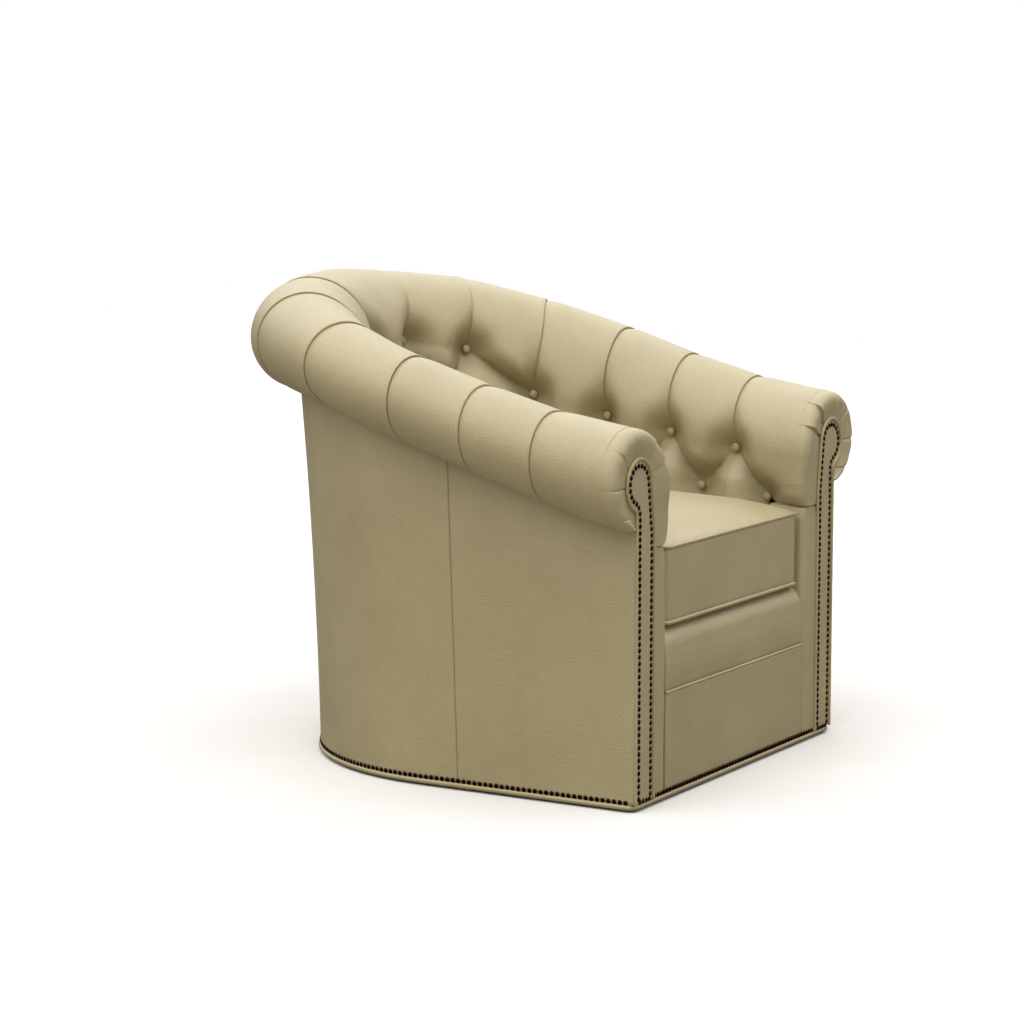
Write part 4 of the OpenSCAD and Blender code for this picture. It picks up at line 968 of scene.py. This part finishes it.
def nails(name, middle, out):
    """Each head is a low dome: 4 rings of 10 points, closed by a point at its top and a flat back. As
    they are hammered in by hand, each leans a little its own way."""
    rng = np.random.default_rng(7)
    out = unit(unit(out) + rng.normal(0, 0.035, out.shape))
    side = unit(np.cross(out, [0.0, 0.0, 1.0]))
    up = np.cross(side, out)
    turn = np.linspace(0, 2 * np.pi, NAIL_SIDES, endpoint=False)
    round_it = np.cos(turn)[None, :, None] * side[:, None] + np.sin(turn)[None, :, None] * up[:, None]
    rings = [(1.0, -0.6), (1.0, 0.3), (0.85, 1.1), (0.52, 1.8)]
    domes = [middle[:, None] + NAIL_R * wide * round_it + rise * out[:, None] for wide, rise in rings]
    points = np.concatenate([*domes, (middle + 2.1 * out)[:, None]], 1)
    quads = grid_faces(len(rings), NAIL_SIDES)
    base = np.arange(NAIL_SIDES)
    top = base + (len(rings) - 1) * NAIL_SIDES
    tip = np.stack([top, np.roll(top, -1), np.full(NAIL_SIDES, len(rings) * NAIL_SIDES)], -1)
    if volume(points[0], quads) < 0:
        quads, base = quads[:, ::-1], base[::-1]
    else:
        tip = tip[:, ::-1]
    faces = []
    for start in np.arange(len(middle)) * points.shape[1]:
        faces += (quads + start).tolist() + (tip + start).tolist() + [(base + start).tolist()]
    made = to_mesh(name, points.reshape(-1, 3), faces)
    made.data.materials.append(nail_bronze)
    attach(made, "tub")


def facing_out(count):
    """Straight ahead, for each of so many nails."""
    return np.tile([0.0, -1.0, 0.0], (count, 1))


ring = base_line(0.6, NAIL_ROW_Z)
row, ahead = spaced(ring[ring[:, 1] > -FRONT_REACH + 9])
nails("bottom_nails", row, np.cross(ahead, [0.0, 0.0, 1.0]))
ends = [[-NAIL_ROW_END, -FRONT_REACH + 0.2, NAIL_ROW_Z], [NAIL_ROW_END, -FRONT_REACH + 0.2, NAIL_ROW_Z]]
row, ahead = spaced(np.array(ends))
nails("front_nails", row, facing_out(len(row)))
for side, word in ((1, "right"), (-1, "left")):
    line = keyhole(0.0)
    feet = [[FACING_IN, NAIL_ROW_Z], [FACING_OUT, NAIL_ROW_Z]]
    line = np.concatenate([line[line[:, 1] > NAIL_ROW_Z], feet])
    loop, ahead = spaced(standing(line, FACING_Y - 1.0, side), closed=True)
    nails(f"facing_{word}_nails", loop, facing_out(len(loop)))


# Front of the seat: a padded lip under the cushion, a piping below it, and a flat border that is
# stretched over the front rail down to the bottom edge.
LIP_Z, LIP_R, LIP_DEEP = 186.0, 38.0, 63.0
LIP_HALF = FRONT_HALF - 1
LIP_FOOT = LIP_Z + 2
BORDER_TOP = LIP_Z - 2


def fine_ends(length, near, start, count):
    """Steps from 0 to length: close together at both ends, and even between start and length - start."""
    near = np.array(near)
    return np.concatenate([near, np.linspace(start, length - start, count), length - near[::-1]])


def front_lip():
    """The lip's outline from its foot over the round top, carried across, with soft waves in the hide. Its
    ends turn down by 3.5 mm on a quarter of an ellipse, 12 mm long."""
    x = fine_ends(2 * LIP_HALF, [0, 0.5, 1.5, 3, 5, 8], 12, 84)[:, None] - LIP_HALF
    near = np.minimum(LIP_HALF - np.abs(x), 12)
    e = 3.5 * (1 - np.sqrt(1 - (1 - near / 12) ** 2))
    turn = np.radians(np.linspace(0, 90, 22))[None]
    y0, z1 = -FRONT_REACH + 3 + e, DECK_Z - 0.5 - e
    rise = np.linspace(0, 1, 14)[None, 1:-1]
    belly_y, belly_z = y0 - 2.4 * np.sin(np.pi * rise), mix(LIP_FOOT, z1 - LIP_R, rise)
    over_y, over_z = y0 + LIP_R - LIP_R * np.cos(turn), z1 - LIP_R + LIP_R * np.sin(turn)
    back_y = [0 * x - FRONT_REACH + away for away in (LIP_DEEP, LIP_DEEP, 22, 22)]
    back_z = [0 * x + DECK_Z - down for down in (14, 14, 23)]
    y = np.concatenate([0 * x - FRONT_REACH + 13.6, y0 + 1, belly_y, over_y, *back_y], 1)
    z = np.concatenate([0 * x + LIP_FOOT, 0 * x + LIP_FOOT, belly_z, over_z, z1, *back_z], 1)
    wave = 0.9 * np.sin(x / 31) * np.sin(np.pi * np.clip((z - LIP_Z) / 100, 0, 1))
    grid = np.stack([np.broadcast_to(x, y.shape), y + wave, z], -1)
    fit(padded_skin("front_lip_leather", grid), hide, "tub", ["front_lip"])


def front_border():
    """A flat panel whose edges turn under by 2.2 mm as a quarter circle over 3.5 mm."""
    span, high = 2 * LIP_HALF, BORDER_TOP - FRONT_FOOT
    near = [0, 0.6, 1.5, 2.8, 4.5]
    u, v = fine_ends(span, near, 8, 60)[:, None], fine_ends(high, near, 8, 30)[None]
    sink = 2.2 * hollow(np.minimum(np.minimum(u, span - u), np.minimum(v, high - v)), 3.5)
    wave = 0.5 * np.sin(u / 43) * np.sin(np.pi * v / high)
    front = np.stack([u - LIP_HALF + 0 * v, -FRONT_REACH + 2 + sink + wave, FRONT_FOOT + v + 0 * u], -1)
    behind = front.copy()
    behind[..., 1] = -FRONT_REACH + 12
    grid = np.concatenate([front, behind[:, ::-1]], 1)
    fit(padded_skin("front_border_leather", grid), hide, "tub", ["front_border"])


front_lip()
front_border()
line = np.array([[x, -FRONT_REACH + 3.5, LIP_Z] for x in (-LIP_HALF, LIP_HALF)])
piping("front_piping", line, 2.8, (0, 0, 1), False, "tub", "front_welt", seed=2.0)


# Loose seat cushion: foam in a box of hide with a piped seam above and below. Its top crowns, and
# its boxing fills out between thin pipings. A zip runs round the back of the boxing.
CUSHION_GAP, CORNER_R, CROWN = 5.0, 16.0, 34.0
CUSHION_FRONT = -FRONT_REACH + 5
BOTTOM_SEAM = DECK_Z + 4.9
TOP_SEAM = DECK_Z + 4.3 + 130


def cushion_edge(e, count=620):
    """Evenly spaced points of the cushion's outline, e mm inside its gap to the wall, from the front
    right corner round the back."""
    w, f, r = ARM_IN - CUSHION_GAP - e, CUSHION_FRONT + e, CORNER_R
    corner = np.radians(np.linspace(-90, 0, 10))
    right = np.stack([w - r + r * np.cos(corner), f + r + r * np.sin(corner)], -1)
    arm = np.linspace((60 - FIRST_PLEAT) / PITCH, 1.9, 12)[:-1]
    p = np.concatenate([arm, np.linspace(1.9, 9.1, 164), LAST - arm[::-1]])
    back = np.stack(on_plan(p, wall_r(half_p(p), SEAT_Z) - CUSHION_GAP - e), -1)
    ring = np.concatenate([right, back, right[::-1] * [-1, 1], right[:1]])
    return points_at(ring, np.linspace(0, walked(ring)[-1], count, endpoint=False))


def cushion_cover():
    """One closed cover. The boxing's side fills out from its seams as a quarter circle, and the top
    crowns as 1 - s^4, more towards its rear, behind a rounded seam. Short puckers leave the seams, and
    the bottom is flat."""
    edge = cushion_edge(6.6)
    heart = np.array([0.0, (BACK_IN - ARC_SET + CUSHION_FRONT) / 2])
    at = np.arange(len(edge)) / len(edge) * 2 * np.pi
    rings = []
    brim = 1 - 0.07 * (1 - np.linspace(0.1, 1, 10)) ** 1.6
    for s in np.concatenate([[0.004], np.linspace(0.06, 0.93, 34), brim]):
        rear = ease((heart[1] + (edge[:, 1] - heart[1]) * s + FRONT_REACH) / 300)
        z = TOP_SEAM + 1.0 + (CROWN + 9 * rear) * (1 - s**4) + 2.5 * (1 - hollow((1 - s) * 250, 9))
        pucker = 0.8 * np.exp(-((1 - s) / 0.05)) * np.sin(at * 61 + 2 * np.sin(at * 7))
        rings.append(np.concatenate([heart + (edge - heart) * s, (z + pucker)[:, None]], 1))
    along = edge - np.roll(edge, 1, axis=0)
    normal = unit(np.stack([along[:, 1], -along[:, 0]], -1))
    high = TOP_SEAM - BOTTOM_SEAM
    for down in fine_ends(high, [0, 0.5, 1.2, 2.2, 3.6, 5.5, 8], 12, 24):
        gap = min(down, high - down)
        out = 4.2 * (1 - hollow(gap, 11)) + 0.4 * np.sin(at * 5 + 1) * np.sin(np.pi * down / high)
        pucker = 0.45 * np.exp(-gap / 11) * np.sin(at * 57 + 3 * np.sin(at * 5)) * (1 - np.exp(-gap / 2))
        rings.append(raised(edge + normal * (out - pucker)[:, None], TOP_SEAM - down))
    for s in (0.97, 0.9, 0.6, 0.3, 0.004):
        rings.append(raised(heart + (edge - heart) * s, DECK_Z + 0.4))
    return padded_skin("cushion_cover", np.array(rings))


covered = ["cushion_boxing", "cushion_top_panel", "cushion_bottom_panel", "cushion_core"]
fit(cushion_cover(), hide, "cushion", covered)
for word, z, radius in (("top", TOP_SEAM + 0.4, 2.9), ("bottom", BOTTOM_SEAM - 0.6, 3.6)):
    path = raised(cushion_edge(radius), z)
    piping(f"cushion_{word}_piping", path, radius, (0, 0, 1), True, "cushion", f"cushion_welt_{word}", seed=z)
dress(["cushion_zip"], bottom_cloth)
dress(["zip_slider"], cage_brass)


# Studio: a pale sweep under soft light from above, and the camera where the photograph was taken.
# The floor looks white and throws little light back on the chair, as in a retouched picture.
FLOOR_HALF = 9000.0
corners = FLOOR_HALF * np.array([[-1, -1, 0], [1, -1, 0], [1, 1, 0], [-1, 1, 0]])
floor = to_mesh("studio_floor", corners, [[0, 1, 2, 3]])
pale_paint, tree, place = blank_material("Pale_studio_floor")
dust = node(tree, "TexNoise", {"Vector": place, "Scale": per(333)})
pale = two_colours(tree, dust.outputs["Fac"], "#f1eee8", "#f4f1eb")
rays = node(tree, "LightPath").outputs
thrown = node(tree, "MixRGB", {
    "Fac": rays["Is Glossy Ray"], "Color1": linear("#bab6ac"), "Color2": linear("#3e3c38"),
})
colour = node(tree, "MixRGB", {
    "Fac": rays["Is Camera Ray"], "Color1": thrown.outputs["Color"], "Color2": pale,
})
skin = node(tree, "BsdfPrincipled", {
    "Base Color": colour.outputs["Color"], "Roughness": 0.9, "Specular IOR Level": 0.1,
})
node(tree, "OutputMaterial", {"Surface": skin.outputs["BSDF"]})
floor.data.materials.append(pale_paint)

key = bpy.data.lights.new("overhead_sky_panel", "SUN")
key.angle, key.energy, key.color = math.radians(70), 1.5, (0.95, 0.98, 1.08)
overhead = bpy.data.objects.new("overhead_sky_panel", key)
bpy.context.scene.collection.objects.link(overhead)
overhead.rotation_euler = Vector((0.5, 0.06, -1)).to_track_quat("-Z", "Y").to_euler()

# The air is white to the eye and lights the chair softly from all round. In its gloss the chair
# mirrors bright panels overhead, which fade towards the dark horizon.
world = bpy.data.worlds.new("studio_air")
bpy.context.scene.world = world
world.use_nodes = True
air = world.node_tree
air.nodes.clear()
path = node(air, "LightPath").outputs
height = node(air, "SeparateXYZ", {"Vector": node(air, "TexCoord").outputs["Generated"]}).outputs["Z"]
panels = node(air, "MapRange", {
    "Value": height, "From Min": 0.12, "From Max": 0.65, "To Min": 0.05, "To Max": 4.3,
})
sky = node(air, "MapRange", {"Value": height, "From Max": 0.9, "To Min": 0.38, "To Max": 1.05})
white = linear("#ffffff")
backdrop, mirrored, fill = (
    node(air, "Background", {"Color": white, "Strength": strength}).outputs["Background"]
    for strength in (1.0, panels.outputs["Result"], sky.outputs["Result"])
)
lit = node(air, "MixShader", {0: path["Is Glossy Ray"], 1: fill, 2: mirrored}).outputs["Shader"]
both = node(air, "MixShader", {0: path["Is Camera Ray"], 1: lit, 2: backdrop})
node(air, "OutputWorld", {"Surface": both.outputs["Shader"]})
bpy.context.scene.view_settings.view_transform = "Standard"

camera = bpy.data.objects.new("camera", bpy.data.cameras.new("camera"))
bpy.context.scene.collection.objects.link(camera)
azimuth, pitch = math.radians(59.39), math.radians(7.71)
camera.location = (-4.7264, -2.7996, 1.177)
look = Vector((math.sin(azimuth) * math.cos(pitch), math.cos(azimuth) * math.cos(pitch), -math.sin(pitch)))
camera.rotation_euler = look.to_track_quat("-Z", "Y").to_euler()
camera.data.lens, camera.data.sensor_width = 105.47, 36
bpy.context.scene.camera = camera
